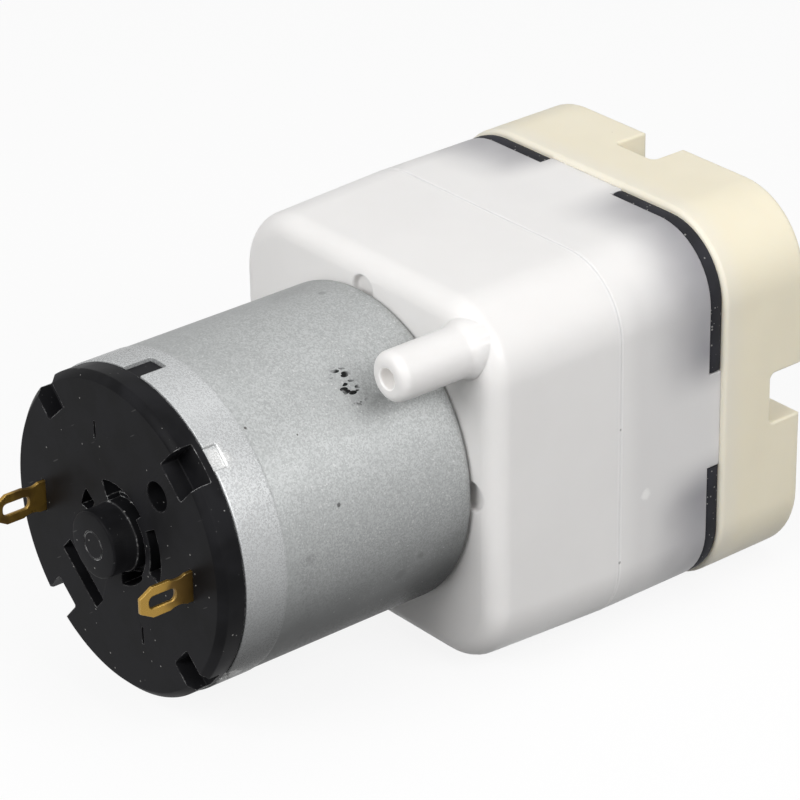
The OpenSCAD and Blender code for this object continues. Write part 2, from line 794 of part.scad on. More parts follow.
module valve_ports(r) {
  for (a = corners) at(a, r) {
    rod(valve_stem_d / 2 + press, sheet_end - cut, plate_end + cut);
    for (b = sides) at(b + 45, port_r) rod(port_d / 2, sheet_end - cut, plate_end + cut);
  }
}

module valve_plate() {
  color([0.9, 0.9, 0.88]) along_axis() difference() {
    translate([0, 0, sheet_end]) linear_extrude(valve_plate_t) cover_outline(slip);
    valve_ports(intake_r);
    valve_ports(exhaust_r);
    passage(nozzle_bore / 2, sheet_end - cut, plate_end + cut);
  }
}

// An umbrella valve: its head on one face of the plate, its bulb on the other
module umbrella(face, dir) {
  stem_len = valve_plate_t + seat;
  translate([0, 0, face]) mirror([0, 0, dir > 0 ? 0 : 1]) {
    translate([0, 0, seat]) cylinder(r1 = valve_d / 2, r2 = valve_d / 4, h = valve_t);
    rod(valve_stem_d / 2, -stem_len, seat);
    cone(valve_tip_r, valve_bulb_r, -stem_len - bulb_len, -stem_len);
  }
}

module intake_valves() {
  color([0.2, 0.2, 0.22]) along_axis() for (a = corners) at(a, intake_r) umbrella(sheet_end, -1);
}

module exhaust_valves() {
  color([0.2, 0.2, 0.22]) along_axis() for (a = corners) at(a, exhaust_r) umbrella(plate_end, 1);
}

// A screw notch, seen along its radius: rounded corners at its floor and rounded lips at the end face
module notch_outline() {
  half = cover_notch_w / 2;
  r = cover_notch_r;
  lip = half + r - lip_over;
  translate([-half, r]) square([2 * half, cover_notch_len - r + cut]);
  translate([r - half, 0]) square([2 * (half - r), cover_notch_len]);
  for (side = [-1, 1]) {
    translate([side * (half - r), r]) circle(r);
    difference() {
      translate([side > 0 ? 0 : -lip, cover_notch_len - r]) square([lip, r + cut]);
      translate([side * lip, cover_notch_len - r + lip_over]) circle(r);
    }
  }
}

module cover_notch() {
  translate([notch_in, 0, notch_floor]) rotate([90, 0, 90])
    linear_extrude(cover_half + cut - notch_in) notch_outline();
}

module head_cover() {
  color([0.92, 0.89, 0.82]) along_axis() difference() {
    lofted(concat(edge(sheet_end, cover_half, cover_corner_r, cover_lip_r, 1),
      edge(cover_end, cover_half, cover_corner_r, cover_edge_r, -1)));
    translate([0, 0, sheet_end - cut]) linear_extrude(valve_plate_t + cut) cover_outline(0);
    difference() {
      translate([0, 0, plate_end - cut]) linear_extrude(chamber_end - plate_end + cut) cover_outline(ledge);
      tube(ring_r + ring_t / 2, ring_r - ring_t / 2, plate_end, chamber_end + cut);
    }
    screw_holes(screw_d / 2 + slip, sheet_end - cut, cover_end);
    for (a = sides) at(a) cover_notch();
    rod(inlet_recess_r, cover_end - inlet_recess, cover_end + cut);
    rod(inlet_d / 2, chamber_end - cut, cover_end);
    for (a = corners) at(a, inlet_circle_r) rod(inlet_d / 2, chamber_end - cut, cover_end);
  }
}

module cover_screws() {
  color([0.7, 0.7, 0.72]) along_axis() for (a = sides) at(a, screw_r)
    machine_screw(screw_d, screw_head_d, screw_head_h, notch_floor, screw_len);
}

module motor_shaft() {
  bevel = 0.2;
  color([0.8, 0.8, 0.82]) along_axis() {
    cone(shaft_r - bevel, shaft_r, shaft_rear, shaft_rear + bevel);
    rod(shaft_r, shaft_rear + bevel, shaft_front - bevel);
    cone(shaft_r, shaft_r - bevel, shaft_front - bevel, shaft_front);
  }
}

module armature_core() {
  color([0.5, 0.51, 0.53]) along_axis() translate([0, 0, core_z]) linear_extrude(core_len) difference() {
    union() {
      circle(core_hub_r);
      for (a = [0, 120, 240]) rotate(a) translate([0, -tooth_w / 2])
        square([core_r - shoe_t / 2, tooth_w]);
      difference() {
        circle(core_r);
        circle(core_r - shoe_t);
        for (a = [60, 180, 300]) rotate(a) translate([0, -slot_w / 2])
          square([core_r + cut, slot_w]);
      }
    }
    circle(shaft_r + press);
  }
}

// One coil: a rounded ring of wire round a tooth that points along x
module winding() {
  gap = slip;
  half_len = core_len / 2 + gap + winding_t;
  round_r = winding_t;
  translate([winding_in_r, 0, core_z + core_len / 2]) rotate([0, 90, 0])
    linear_extrude(winding_out_r - winding_in_r) difference() {
      union() {
        square([2 * half_len, 2 * (winding_half_w - round_r)], center = true);
        square([2 * (half_len - round_r), 2 * winding_half_w], center = true);
        for (x = [-1, 1], y = [-1, 1])
          translate([x * (half_len - round_r), y * (winding_half_w - round_r)]) circle(round_r);
      }
      square([core_len + 2 * gap, tooth_w + 2 * gap], center = true);
    }
}

module armature_windings() {
  color([0.72, 0.38, 0.18]) along_axis() for (a = [0, 120, 240]) rotate([0, 0, a]) winding();
}

module commutator_hub() {
  color([0.15, 0.13, 0.12]) along_axis() difference() {
    union() {
      rod(comm_d / 2 - segment_t - press, comm_z, comm_front);
      rod(collar_r, comm_front - collar_t, comm_front);
    }
    rod(shaft_r + press, comm_z - cut, comm_front + cut);
  }
}

module commutator_segments() {
  color([0.75, 0.45, 0.25]) along_axis() for (a = [60, 180, 300])
    ring_sector(comm_d / 2 - segment_t, comm_d / 2, a - 60 + segment_gap / 2, a + 60 - segment_gap / 2,
      comm_z + segment_set, comm_front - collar_t - seat);
}

// Two washers and a spacer in front of the core, and a spacer behind the commutator
module shaft_washers() {
  pitch = washer_t + seat;
  front = front_bush_z - seat;
  color([0.85, 0.84, 0.8]) along_axis() {
    for (i = [1, 2]) tube(washer_r, shaft_r + press, front - i * pitch, front - i * pitch + washer_t);
    tube(spacer_r, shaft_r + press, core_z + core_len + seat, front - 2 * pitch - seat);
    tube(washer_r, shaft_r + press, rear_bush_z + bush_len + 3 * seat, comm_z - seat);
  }
}

module eccentric() {
  color([0.88, 0.88, 0.85]) along_axis() difference() {
    union() {
      rod(eccentric_d / 2, eccentric_z, eccentric_z + eccentric_flange_t);
      rod(eccentric_neck_d / 2, eccentric_z + eccentric_flange_t, eccentric_end);
    }
    rod(shaft_r + press, eccentric_z - cut, shaft_front + seat);
    tilted() rod(pin_r + press, pin_low, eccentric_end + cut);
    for (a = [-relief_angle, relief_angle]) at(a, relief_at)
      rod(relief_r, eccentric_z - cut, eccentric_z + relief_depth);
  }
}

module crank_pin() {
  color([0.82, 0.82, 0.84]) along_axis() tilted() rod(pin_r, pin_low + seat, pin_high);
}

module wobble_plate() {
  color([0.95, 0.95, 0.93]) along_axis() tilted() difference() {
    union() {
      rod(hub_d / 2, hub_low, plate_top);
      for (a = corners) {
        at(a) bar(0, cup_r0, arm_w, plate_low, plate_top);
        at(a, cup_r0) rod(pad_r, plate_low, plate_top);
        at(a) rotate([90, 0, 0]) translate([0, 0, -rib_t / 2]) linear_extrude(rib_t)
          polygon([[rib_in, rib_foot], [rib_out, plate_low], [rib_out, plate_top], [rib_in, plate_top]]);
      }
    }
    rod(pin_r + running, hub_low - cut, pin_high + pin_room);
    cup_places() rod(stem_d / 2 + seat, plate_low - cut, plate_top + cut);
  }
}

module cup_floors() {
  low = pivot - floor_t / 2;
  high = pivot + floor_t / 2;
  color([0.12, 0.12, 0.13]) along_axis() tilted() cup_places() {
    rod(floor_d / 2, low, high - floor_bevel);
    cone(floor_d / 2, floor_d / 2 - floor_bevel, high - floor_bevel, high);
    rod(shoulder_r, plate_top + seat, low);
    rod(stem_d / 2, plate_low - seat, plate_top + seat);
    cone(barb_tip_r, barb_r, plate_low - seat - barb_len, plate_low - seat);
  }
}

motor_can();
end_cap();
rear_bearing();
front_bearing();
field_magnets();
magnet_clip();
terminal_left();
terminal_right();
brush_arms();
brushes();
motor_screws();
pump_base();
diaphragm_holder();
diaphragm();
valve_plate();
intake_valves();
exhaust_valves();
head_cover();
cover_screws();
motor_shaft();
armature_core();
armature_windings();
commutator_hub();
commutator_segments();
shaft_washers();
eccentric();
crank_pin();
wobble_plate();
cup_floors();
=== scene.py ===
"""Mini air pump: the visible pieces and their finishes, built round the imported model.

The pump lies along Y: the motor's terminals point to -Y and the cover ends it at +Y.
Outlines are lists of (x, z) points, and all lengths are in metres.
"""

from math import acos, cos, degrees, pi, radians, sin, sqrt, tan

import bmesh
import bpy
from bpy.props import FloatProperty, FloatVectorProperty, PointerProperty
from mathutils import Matrix, Vector


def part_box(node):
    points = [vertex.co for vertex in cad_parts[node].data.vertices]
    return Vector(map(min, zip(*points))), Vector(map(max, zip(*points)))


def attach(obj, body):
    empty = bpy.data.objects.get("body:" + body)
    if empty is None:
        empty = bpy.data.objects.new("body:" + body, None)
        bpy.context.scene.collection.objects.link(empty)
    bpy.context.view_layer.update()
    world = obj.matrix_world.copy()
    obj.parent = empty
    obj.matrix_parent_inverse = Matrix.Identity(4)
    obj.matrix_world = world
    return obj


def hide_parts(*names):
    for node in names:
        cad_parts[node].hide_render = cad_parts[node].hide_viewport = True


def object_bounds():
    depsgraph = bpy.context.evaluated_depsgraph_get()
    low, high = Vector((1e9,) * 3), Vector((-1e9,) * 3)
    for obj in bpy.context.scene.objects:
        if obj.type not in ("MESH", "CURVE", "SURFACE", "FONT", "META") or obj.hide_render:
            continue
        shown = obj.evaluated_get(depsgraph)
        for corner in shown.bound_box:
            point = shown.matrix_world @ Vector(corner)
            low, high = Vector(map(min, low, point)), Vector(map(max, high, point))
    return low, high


bl_info = {
    "name": "Mini air pump",
    "version": (1, 0, 0),
    "blender": (4, 5, 0),
    "location": "3D view > Sidebar > Air pump",
    "description": "Builds the pieces, finishes and studio of a small motor-driven air pump",
    "category": "Object",
}

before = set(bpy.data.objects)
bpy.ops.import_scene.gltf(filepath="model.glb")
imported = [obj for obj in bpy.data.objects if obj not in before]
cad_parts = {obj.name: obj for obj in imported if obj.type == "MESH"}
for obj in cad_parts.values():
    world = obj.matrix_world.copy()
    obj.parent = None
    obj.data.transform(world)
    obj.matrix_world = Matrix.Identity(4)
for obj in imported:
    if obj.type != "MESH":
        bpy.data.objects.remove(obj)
CAD_BOX = [list(corner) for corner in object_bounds()]

MM = 0.001
CLEAR = 0.5 * MM  # how far a cutter stands past what it cuts
MOUTH_OVER = 0.004 * MM  # how far a rounded mouth ends past its face
MOUTH_STEPS = 4
SHARP_EDGE = radians(32)
SIDES = (0, 90, 180, 270)
CORNERS = (45, 135, 225, 315)


def reach(node, axis, end):
    """Where a CAD node starts (end 0) or stops (end 1) along an axis."""
    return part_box(node)[end]["xyz".index(axis)]


RIM = reach("motor_can", "y", 0)
BOSS_END = reach("end_cap", "y", 0)
PLUG_END = reach("end_cap", "y", 1)
NOZZLE_END = reach("pump_base", "y", 0)
SEAM = reach("pump_base", "y", 1)
LIP_END = reach("diaphragm_holder", "y", 0)
SHEET_END = reach("diaphragm_holder", "y", 1)
COVER_END = reach("head_cover", "y", 1)


# Sizes and colours

def length(label, text, mm):
    """A size that is given here in millimetres and kept in metres."""
    return FloatProperty(name=label, description=text, default=mm * MM, precision=6, unit="LENGTH")


def angle(label, text, turn):
    """An angle that is given here in degrees."""
    return FloatProperty(name=label, description=text, default=radians(turn), unit="ROTATION")


def share(label, text, value):
    return FloatProperty(name=label, description=text, default=value, min=0, max=1, subtype="FACTOR")


def watts(label, text, value):
    return FloatProperty(name=label, description=text, default=value, min=0, unit="POWER")


def colour(label, text, r, g, b):
    return FloatVectorProperty(name=label, description=text, default=(r, g, b), min=0, max=1,
                               size=3, subtype="COLOR")


class MotorCanSizes(bpy.types.PropertyGroup):
    radius: length("Radius", "Outside radius of the motor can", 16)
    wall: length("Wall", "Thickness of the drawn steel", 0.9)
    edge: length("Front edge", "Radius of the can's front edge", 0.8)
    band_rise: length("Band rise", "Height of the swaged rim band above the can", 0.08)
    band_len: length("Band length", "Length of the swaged rim band", 4.6)
    boss_r: length("Boss radius", "Radius of the bearing boss on the front face", 3)
    boss_len: length("Boss length", "Length of the bearing boss", 1.6)
    bush_r: length("Bush radius", "Radius of the bearing seats", 2.31)
    window_w: length("Window width", "Width of the two rim windows", 2.5)
    window_len: length("Window length", "Length of the two rim windows", 3)
    dent_w: length("Crimp width", "Width of the crimps that hold the end cap", 2.2)
    dent_len: length("Crimp length", "Length of the crimps", 1.3)
    dent_depth: length("Crimp depth", "Depth of the crimps", 0.35)
    screw_at: length("Screw place", "Distance of the motor screws from the axis", 8.2)
    screw_hole: length("Screw hole", "Radius of the motor screw holes", 1.26)


class EndCapSizes(bpy.types.PropertyGroup):
    radius: length("Radius", "Outside radius of the end cap", 15.95)
    flange: length("Flange", "Thickness of the flange under the crimps", 0.8)
    disc: length("Disc", "Thickness of the disc behind the flange", 1.9)
    chamfer: length("Chamfer", "Chamfer round the cap's face", 0.65)
    plug_r: length("Plug radius", "Outside radius of the collar inside the can", 15.025)
    plug_wall: length("Plug wall", "Wall of the collar inside the can", 1.2)
    boss_r: length("Boss radius", "Radius of the bearing boss", 3.3)
    boss_wall: length("Boss wall", "End wall of the bearing boss", 0.8)
    mark_r: length("Mark radius", "Radius of the ring mark on the boss", 1.36)
    mark_half: length("Mark half width", "Half of the ring mark's width", 0.06)
    mark_depth: length("Mark depth", "Depth of the ring mark", 0.08)
    groove_in: length("Groove start", "Inner radius of the groove round the boss", 3.45)
    groove_out: length("Groove end", "Outer radius of the groove round the boss", 4.5)
    groove_depth: length("Groove depth", "Depth of the groove round the boss", 1.4)
    notch_floor: length("Notch floor", "Distance from the axis to the notch floors", 12.7)
    vent_r: length("Vent radius", "Radius of the round vent hole", 1.45)
    vent_at: length("Vent place", "Distance of the vent from the axis", 9.6)
    pocket_w: length("Pocket width", "Width of the pocket near the lower left notch", 1.85)
    pocket_len: length("Pocket length", "Length of that pocket", 6.6)
    pocket_at: length("Pocket place", "Distance of that pocket from the axis", 8.5)
    pocket_depth: length("Pocket depth", "Depth of that pocket", 1.8)
    slit_depth: length("Slit depth", "Depth of the two thin slits", 0.4)
    mouth: length("Mouth radius", "Rounding at the mouths of the openings", 0.05)


class TerminalSizes(bpy.types.PropertyGroup):
    at: length("Place", "Distance of the terminals from the axis", 11.4)
    mid: length("Height", "Height of the terminals' middle against the axis", -0.3)
    width: length("Width", "Width of the brass tags", 3.1)
    sheet: length("Sheet", "Thickness of the brass", 0.4)
    tip_w: length("Tip width", "Width of the tags' tips", 1.5)
    tip_len: length("Tip length", "Length of the tapered tips", 1.4)
    waist_r: length("Waist radius", "Radius of the waists near the cap", 2)
    waist_at: length("Waist place", "Distance of the waists from the cap", 1.6)
    waist_set: length("Waist set", "Distance of the waist circles outside the edge", 1.78)
    eyelet_w: length("Eyelet width", "Width of the oblong eyelets", 1.2)
    eyelet_in: length("Eyelet start", "Start of the eyelets outside the cap", 1.9)
    eyelet_out: length("Eyelet end", "End of the eyelets outside the cap", 4.8)


class HeadSizes(bpy.types.PropertyGroup):
    half: length("Half width", "Half of the head's width at the seam", 19.32)
    corner: length("Corner radius", "Corner radius of the head", 7.3)
    draft: length("Draft", "Step from the seam in to the base's front face", 0.38)
    front_edge: length("Front edge", "Rounding of the base's front edge", 2.2)
    seam_edge: length("Seam edge", "Rounding along the seam", 0.02)
    wall: length("Wall", "Wall of the base and the holder", 1.9)
    floor: length("Floor", "Thickness of the base's floor", 3)
    motor_hole_r: length("Motor screw hole", "Radius of the motor screws' holes in the floor", 1.4)
    screw_at: length("Screw place", "Distance of the cover screws from the axis", 15.7)
    screw_r: length("Screw radius", "Radius of the cover screws", 1.35)
    boss_r: length("Boss radius", "Radius of the screw bosses", 3.05)
    front_hole_r: length("Dimple radius", "Radius of the round dimples in the front face", 1.45)
    front_hole_len: length("Dimple depth", "Depth of those dimples", 0.7)
    screw_end: length("Screw end", "Distance from the front face to the cover screws' ends", 3.6)
    nozzle_x: length("Nozzle right", "Place of the nozzle right of the axis", 14.5)
    nozzle_z: length("Nozzle up", "Place of the nozzle above the axis", 14.8)
    nozzle_r: length("Nozzle radius", "Outside radius of the nozzle", 2.5)
    nozzle_tip: length("Nozzle tip", "Rounding of the nozzle's tip", 1)
    nozzle_foot: length("Nozzle foot", "Step of the nozzle's foot", 0.4)
    bore_r: length("Bore radius", "Radius of the air passage", 1)
    pillar_r: length("Pillar radius", "Radius of the pillar round the air passage", 2.4)
    holder_len: length("Holder length", "Length of the diaphragm holder", 11.6)
    deck: length("Deck", "Thickness of the holder's deck", 4.4)
    lip: length("Lip", "Thickness of the holder's lip inside the base", 1)
    tongue_w: length("Tongue width", "Width of the tongues at the middle of each side", 10.1)
    cup_at: length("Cup place", "Distance of each cup from the axis, across and up", 8)
    cup_r: length("Cup radius", "Outside radius of the rubber cups", 6.2)
    cup_wall: length("Cup wall", "Wall of the rubber cups", 0.6)
    cup_level: length("Cup level", "Place of the cups' rolled feet, clear of the plate's swing", 22.6)
    floor_r: length("Cup floor radius", "Radius of the cups' thick floors", 3.6)
    bulge: length("Bulge", "How far the rubber sheet is squeezed out between its two faces", 0.16)
    slip: length("Slip", "Side clearance of pieces that slip together", 0.15)


class CoverSizes(bpy.types.PropertyGroup):
    step: length("Step", "Step from the head's side out to the cover's side", 0.52)
    corner: length("Corner radius", "Corner radius of the cover", 8.3)
    end_wall: length("End wall", "Thickness of the end wall", 2.8)
    far_edge: length("Far edge", "Rounding of the far edge", 0.7)
    near_edge: length("Near edge", "Rounding of the near edge", 0.5)
    notch_w: length("Notch width", "Width of the screw notches", 5.4)
    notch_r: length("Notch rounding", "Rounding of the notches' corners and lips", 0.6)
    notch_len: length("Notch depth", "Depth of the screw notches along the axis", 4.35)
    notch_in: length("Notch reach", "Distance from the axis to the notches' back wall", 13.25)
    plate_t: length("Valve plate", "Thickness of the valve plate in the cover", 2.5)
    ledge: length("Ledge", "Ledge that the valve plate rests on", 0.9)
    ring_r: length("Ring radius", "Middle radius of the wall between the chambers", 10.46)
    ring_t: length("Ring wall", "Thickness of that wall", 0.8)
    inlet_r: length("Inlet radius", "Radius of the air inlet holes", 0.8)
    inlet_at: length("Inlet place", "Radius of the circle of inlet holes", 3.6)
    recess: length("Recess", "Depth of the round recess at the inlet", 0.6)


class FinishColours(bpy.types.PropertyGroup):
    zinc: colour("Zinc", "Zinc plate on the motor can", 0.44, 0.452, 0.45)
    # Painted glints on single crystals of the zinc
    zinc_glint: colour("Zinc sparks", "Single bright crystals", 0.85, 0.85, 0.84)
    zinc_band: colour("Zinc band", "Zinc drawn bright on the rim band", 0.62, 0.63, 0.64)
    zinc_hair: colour("Zinc hairlines", "Pale hairline scratches", 0.75, 0.75, 0.75)
    zinc_rubbed: colour("Rubbed zinc", "Zinc rubbed bright round the crimps", 0.74, 0.74, 0.73)
    zinc_stain: colour("Zinc stains", "Dark stains on the can", 0.10, 0.10, 0.10)
    zinc_score: colour("Zinc scores", "Cluster of dark scores on the can", 0.015, 0.015, 0.015)
    zinc_speck: colour("Zinc specks", "Brown specks on the can", 0.05, 0.04, 0.035)
    black: colour("Black plastic", "Moulded end cap", 0.0068, 0.0068, 0.0076)
    # Scuffs, and painted highlights along the edges
    scuff_and_edge_highlight: colour("Scuffs", "Pale scuffed edges of black plastic", 0.42, 0.42, 0.42)
    scratch: colour("Scratches", "Fine scratches in black plastic", 0.12, 0.12, 0.12)
    white: colour("White plastic", "Pump base and diaphragm holder", 0.825, 0.812, 0.80)
    white_speck: colour("White specks", "Specks in the white plastic", 0.45, 0.42, 0.38)
    # Painted shade, used near the sheet's corners and on the holder's right side
    behind: colour("Shade", "Rubber that shows through the white plastic", 0.155, 0.152, 0.18)
    # Painted light along the seam
    seam: colour("Seam", "White plastic beside the seam", 1.0, 0.98, 0.96)
    # Painted glow inside the nozzle's bore
    bore_glow: colour("Bore", "Light that comes through the nozzle's wall", 0.12, 0.116, 0.11)
    cream: colour("Cream plastic", "Head cover", 0.855, 0.79, 0.62)
    cream_lip: colour("Cream lip", "Cream plastic beside the rubber sheet", 0.79, 0.76, 0.69)
    cream_speck: colour("Cream specks", "Specks in the cream plastic", 0.45, 0.38, 0.24)
    # Painted highlights along the cream plastic's edges
    cream_edge_highlight: colour("Cream edges", "Rubbed edges of the cream plastic", 0.90, 0.87, 0.78)
    rubber: colour("Rubber", "Diaphragm and valves", 0.013, 0.013, 0.016)
    brass: colour("Brass", "Solder tags", 0.37, 0.222, 0.043)
    # Painted highlights along the brass's edges
    brass_edge_highlight: colour("Brass edges", "Rubbed edges of the brass", 0.85, 0.66, 0.30)
    tarnish: colour("Tarnish", "Brown tarnish on the brass", 0.085, 0.045, 0.014)
    steel: colour("Bright steel", "Shaft, screws and clip", 0.62, 0.62, 0.63)
    iron: colour("Core steel", "Laminated armature core", 0.30, 0.30, 0.31)
    copper: colour("Copper", "Enamelled copper wire", 0.55, 0.22, 0.08)
    bronze: colour("Bronze", "Sintered bearings", 0.40, 0.28, 0.13)
    ferrite: colour("Ferrite", "Magnets", 0.045, 0.045, 0.05)
    carbon: colour("Carbon", "Brushes", 0.03, 0.03, 0.032)
    dust: colour("Dust", "Pale dust specks", 0.55, 0.54, 0.52)


class StageSettings(bpy.types.PropertyGroup):
    azimuth: angle("Azimuth", "Direction of the camera round the pump", 50.65)
    elevation: angle("Elevation", "Height of the camera's view", 27.07)
    roll: angle("Roll", "Roll of the camera", -0.90)
    distance: length("Distance", "Distance from the camera to its target", 383.3)
    target: length("Target", "Place of the camera's target along the motor's axis", 5)
    across: length("Across", "How far the camera stands to the side", 0.504)
    up: length("Up", "How far the camera stands up", -2.12)
    lens: FloatProperty(name="Lens", description="Focal length in millimetres", default=178.66, unit="CAMERA")
    world: share("World", "Strength of the even light from all round", 0.31)
    bounce: share("Bounce", "How much light the floor sends back up", 0.12)
    front: watts("Front lamp", "Power of the lamp above the terminals", 1.78)
    side: watts("Side lamp", "Power of the lamp at the right", 1.3)
    top: watts("Top lamp", "Power of the lamp overhead", 0.26)


SETTINGS = {
    "pump_can": MotorCanSizes,
    "pump_cap": EndCapSizes,
    "pump_terminals": TerminalSizes,
    "pump_head": HeadSizes,
    "pump_cover": CoverSizes,
    "pump_colours": FinishColours,
    "pump_stage": StageSettings,
}


# Outlines

def arc(cx, cz, r, start, stop, steps):
    """Points on an arc, with its angles in degrees from +x towards +z."""
    angles = [radians(start + (stop - start) * i / steps) for i in range(steps + 1)]
    return [(cx + r * cos(a), cz + r * sin(a)) for a in angles]


def disc(r, centre=(0, 0), steps=48):
    return arc(centre[0], centre[1], r, 0, 360 * (steps - 1) / steps, steps - 1)


def polar(r, turn):
    return (r * cos(radians(turn)), r * sin(radians(turn)))


def rectangle(x0, x1, z0, z1):
    return [(x0, z0), (x1, z0), (x1, z1), (x0, z1)]


def rounded_square(half, corner, steps):
    points = []
    for turn in SIDES:
        spin = Matrix.Rotation(radians(turn), 2)
        middle = spin @ Vector((half - corner, half - corner))
        points += arc(middle.x, middle.y, corner, turn, turn + 90, steps)
    return points


def softened(corners, r, steps=4):
    """The outline through the corners, each rounded with about radius r."""
    points = []
    corners = [Vector(c) for c in corners]
    for i, corner in enumerate(corners):
        back = corners[i - 1] - corner
        ahead = corners[(i + 1) % len(corners)] - corner
        half = back.angle(ahead) / 2
        cut = min(r / tan(half), 0.48 * back.length, 0.48 * ahead.length)
        start = corner + back.normalized() * cut
        stop = corner + ahead.normalized() * cut
        for k in range(steps + 1):
            t = k / steps
            p = start * (1 - t) ** 2 + corner * 2 * t * (1 - t) + stop * t * t
            points.append((p.x, p.y))
    return points


def grown(outline, by):
    """The outline moved outwards by a small distance along its normals."""
    points = [Vector(p) for p in outline]
    area = sum(a.x * b.y - b.x * a.y for a, b in zip(points, points[1:] + points[:1]))
    by = by if area > 0 else -by
    moved = []
    for i, p in enumerate(points):
        before = (p - points[i - 1]).normalized()
        after = (points[(i + 1) % len(points)] - p).normalized()
        n0, n1 = Vector((before.y, -before.x)), Vector((after.y, -after.x))
        shift = (n0 + n1) * (by / max(1 + n0.dot(n1), 0.3))
        moved.append(tuple(p + shift))
    return moved


def box_outline(x0, x1, width, r, turn=0, shift=0.0):
    """A rounded rectangle along a radius at an angle in degrees."""
    spin = Matrix.Rotation(radians(turn), 2)
    outline = softened(rectangle(x0, x1, shift - width / 2, shift + width / 2), r)
    return [tuple(spin @ Vector(p)) for p in outline]


def sector_outline(r0, r1, start, stop, r):
    """A slot between two radii and two angles, with a point every 7 degrees and its corners cut by r."""
    steps = max(3, int((stop - start) / 7))
    outline = []
    for run in (arc(0, 0, r1, start, stop, steps), arc(0, 0, r0, stop, start, steps)):
        first, second, next_to_last, last = (Vector(run[i]) for i in (0, 1, -2, -1))
        outline.append(tuple(first + (second - first).normalized() * r))
        outline += run[1:-1]
        outline.append(tuple(last + (next_to_last - last).normalized() * r))
    return outline


# Solids

def bridged(bm, a, b):
    for i in range(len(a)):
        j = (i + 1) % len(a)
        bm.faces.new((a[i], a[j], b[j], b[i]))


def lofted(loops):
    """A solid through sections (outline, y) with equal numbers of points."""
    bm = bmesh.new()
    rings = [[bm.verts.new((x, y, z)) for x, z in outline] for outline, y in loops]
    for a, b in zip(rings, rings[1:]):
        bridged(bm, a, b)
    bm.faces.new(rings[0])
    bm.faces.new(rings[-1])
    return bm


def prism(outline, y0, y1):
    return lofted([(outline, y0), (outline, y1)])


def turned(profile, steps, centre=(0, 0), closed=False):
    """A solid of revolution round Y from (radius, y) points, which end on the axis or are closed."""
    bm = bmesh.new()
    cx, cz = centre
    angles = [2 * pi * i / steps for i in range(steps)]
    rings = []
    for r, y in profile:
        spots = [(cx + r * cos(a), y, cz + r * sin(a)) for a in angles] if r else [(cx, y, cz)]
        rings.append([bm.verts.new(spot) for spot in spots])
    for a, b in zip(rings, rings[1:] + rings[:1] if closed else rings[1:]):
        if len(a) == len(b):
            bridged(bm, a, b)
            continue
        pole, loop = (a[0], b) if len(a) == 1 else (b[0], a)
        for i in range(steps):
            bm.faces.new((pole, loop[i], loop[(i + 1) % steps]))
    return bm


def rod(r, y0, y1, centre):
    return turned([(0, y0), (r, y0), (r, y1), (0, y1)], 48, centre)


def tube(r_out, r_in, y0, y1):
    return turned([(r_in, y0), (r_out, y0), (r_out, y1), (r_in, y1)], 64, closed=True)


def sunk(outline, floor, face, mouth, foot=0.0):
    """The cutter for an opening from its floor to the face it opens in, with rounded mouth and foot."""
    way = 1 if face > floor else -1
    angles = [pi / 2 * i / MOUTH_STEPS for i in range(MOUTH_STEPS + 1)]
    loops = []
    for a in angles if foot else angles[-1:]:
        loops.append((grown(outline, -foot * (1 - sin(a))), floor + way * foot * (1 - cos(a))))
    for a in angles:
        y = face - way * mouth + way * (mouth + MOUTH_OVER) * sin(a)
        loops.append((grown(outline, mouth * (1 - cos(a))), y))
    loops.append((grown(outline, mouth), face + way * CLEAR))
    return lofted(loops)


def rounded_end(r, end, way, steps):
    """(inset, y) steps of an edge rounded by r at a solid's end; way is 1 if it ends towards +y."""
    angles = [pi / 2 * i / steps for i in range(steps + 1)]
    return [(r * (1 - cos(a)), end - way * r * (1 - sin(a))) for a in angles]


def moved(bm, matrix):
    bmesh.ops.transform(bm, matrix=matrix, verts=bm.verts[:])
    return bm


def around(turn):
    """Turns a solid round the motor's axis so that +x goes to the angle seen from the terminals' end."""
    return Matrix.Rotation(-radians(turn), 4, "Y")


def made(name, bm):
    """An object from a finished bmesh."""
    bmesh.ops.recalc_face_normals(bm, faces=bm.faces[:])
    mesh = bpy.data.meshes.new(name)
    bm.to_mesh(mesh)
    bm.free()
    obj = bpy.data.objects.new(name, mesh)
    bpy.context.collection.objects.link(obj)
    return obj


def joined(name, solid, add=(), cut=(), keep=()):
    """The solid with others added, then cut, then kept only where it meets the last ones."""
    obj = solid if isinstance(solid, bpy.types.Object) else made(name, solid)
    obj.name = name
    tools = []
    for operation, solids in (("UNION", add), ("DIFFERENCE", cut), ("INTERSECT", keep)):
        for shape in solids:
            tool = shape if isinstance(shape, bpy.types.Object) else made(name + "_tool", shape)
            step = obj.modifiers.new(operation.title(), "BOOLEAN")
            step.operation = operation
            step.solver = "MANIFOLD"
            step.object = tool
            tools.append(tool)
    mesh = bpy.data.meshes.new_from_object(obj.evaluated_get(bpy.context.evaluated_depsgraph_get()))
    if not mesh.polygons:
        raise RuntimeError("nothing is left of " + name)
    spent = [obj.data] + [tool.data for tool in tools]
    obj.modifiers.clear()
    obj.data = mesh
    for tool in tools:
        bpy.data.objects.remove(tool)
    for rough in spent:
        bpy.data.meshes.remove(rough)
    mesh.name = name
    return obj


def placed(obj, node, material):
    """Shades a piece, gives it its finish, and puts it in the place of its CAD node."""
    obj.data.shade_smooth()
    obj.data.set_sharp_from_angle(angle=SHARP_EDGE)
    even = obj.modifiers.new("Even shading", "WEIGHTED_NORMAL")
    even.keep_sharp = True
    obj.data.materials.clear()
    obj.data.materials.append(material)
    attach(obj, "housing")
    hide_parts(node)
    return obj


# Effects that several finishes share

# Sockets of the Mix node when it mixes colours
MIX_UNDER, MIX_OVER, MIXED = 6, 7, 2
BEVEL_SAMPLES = 6


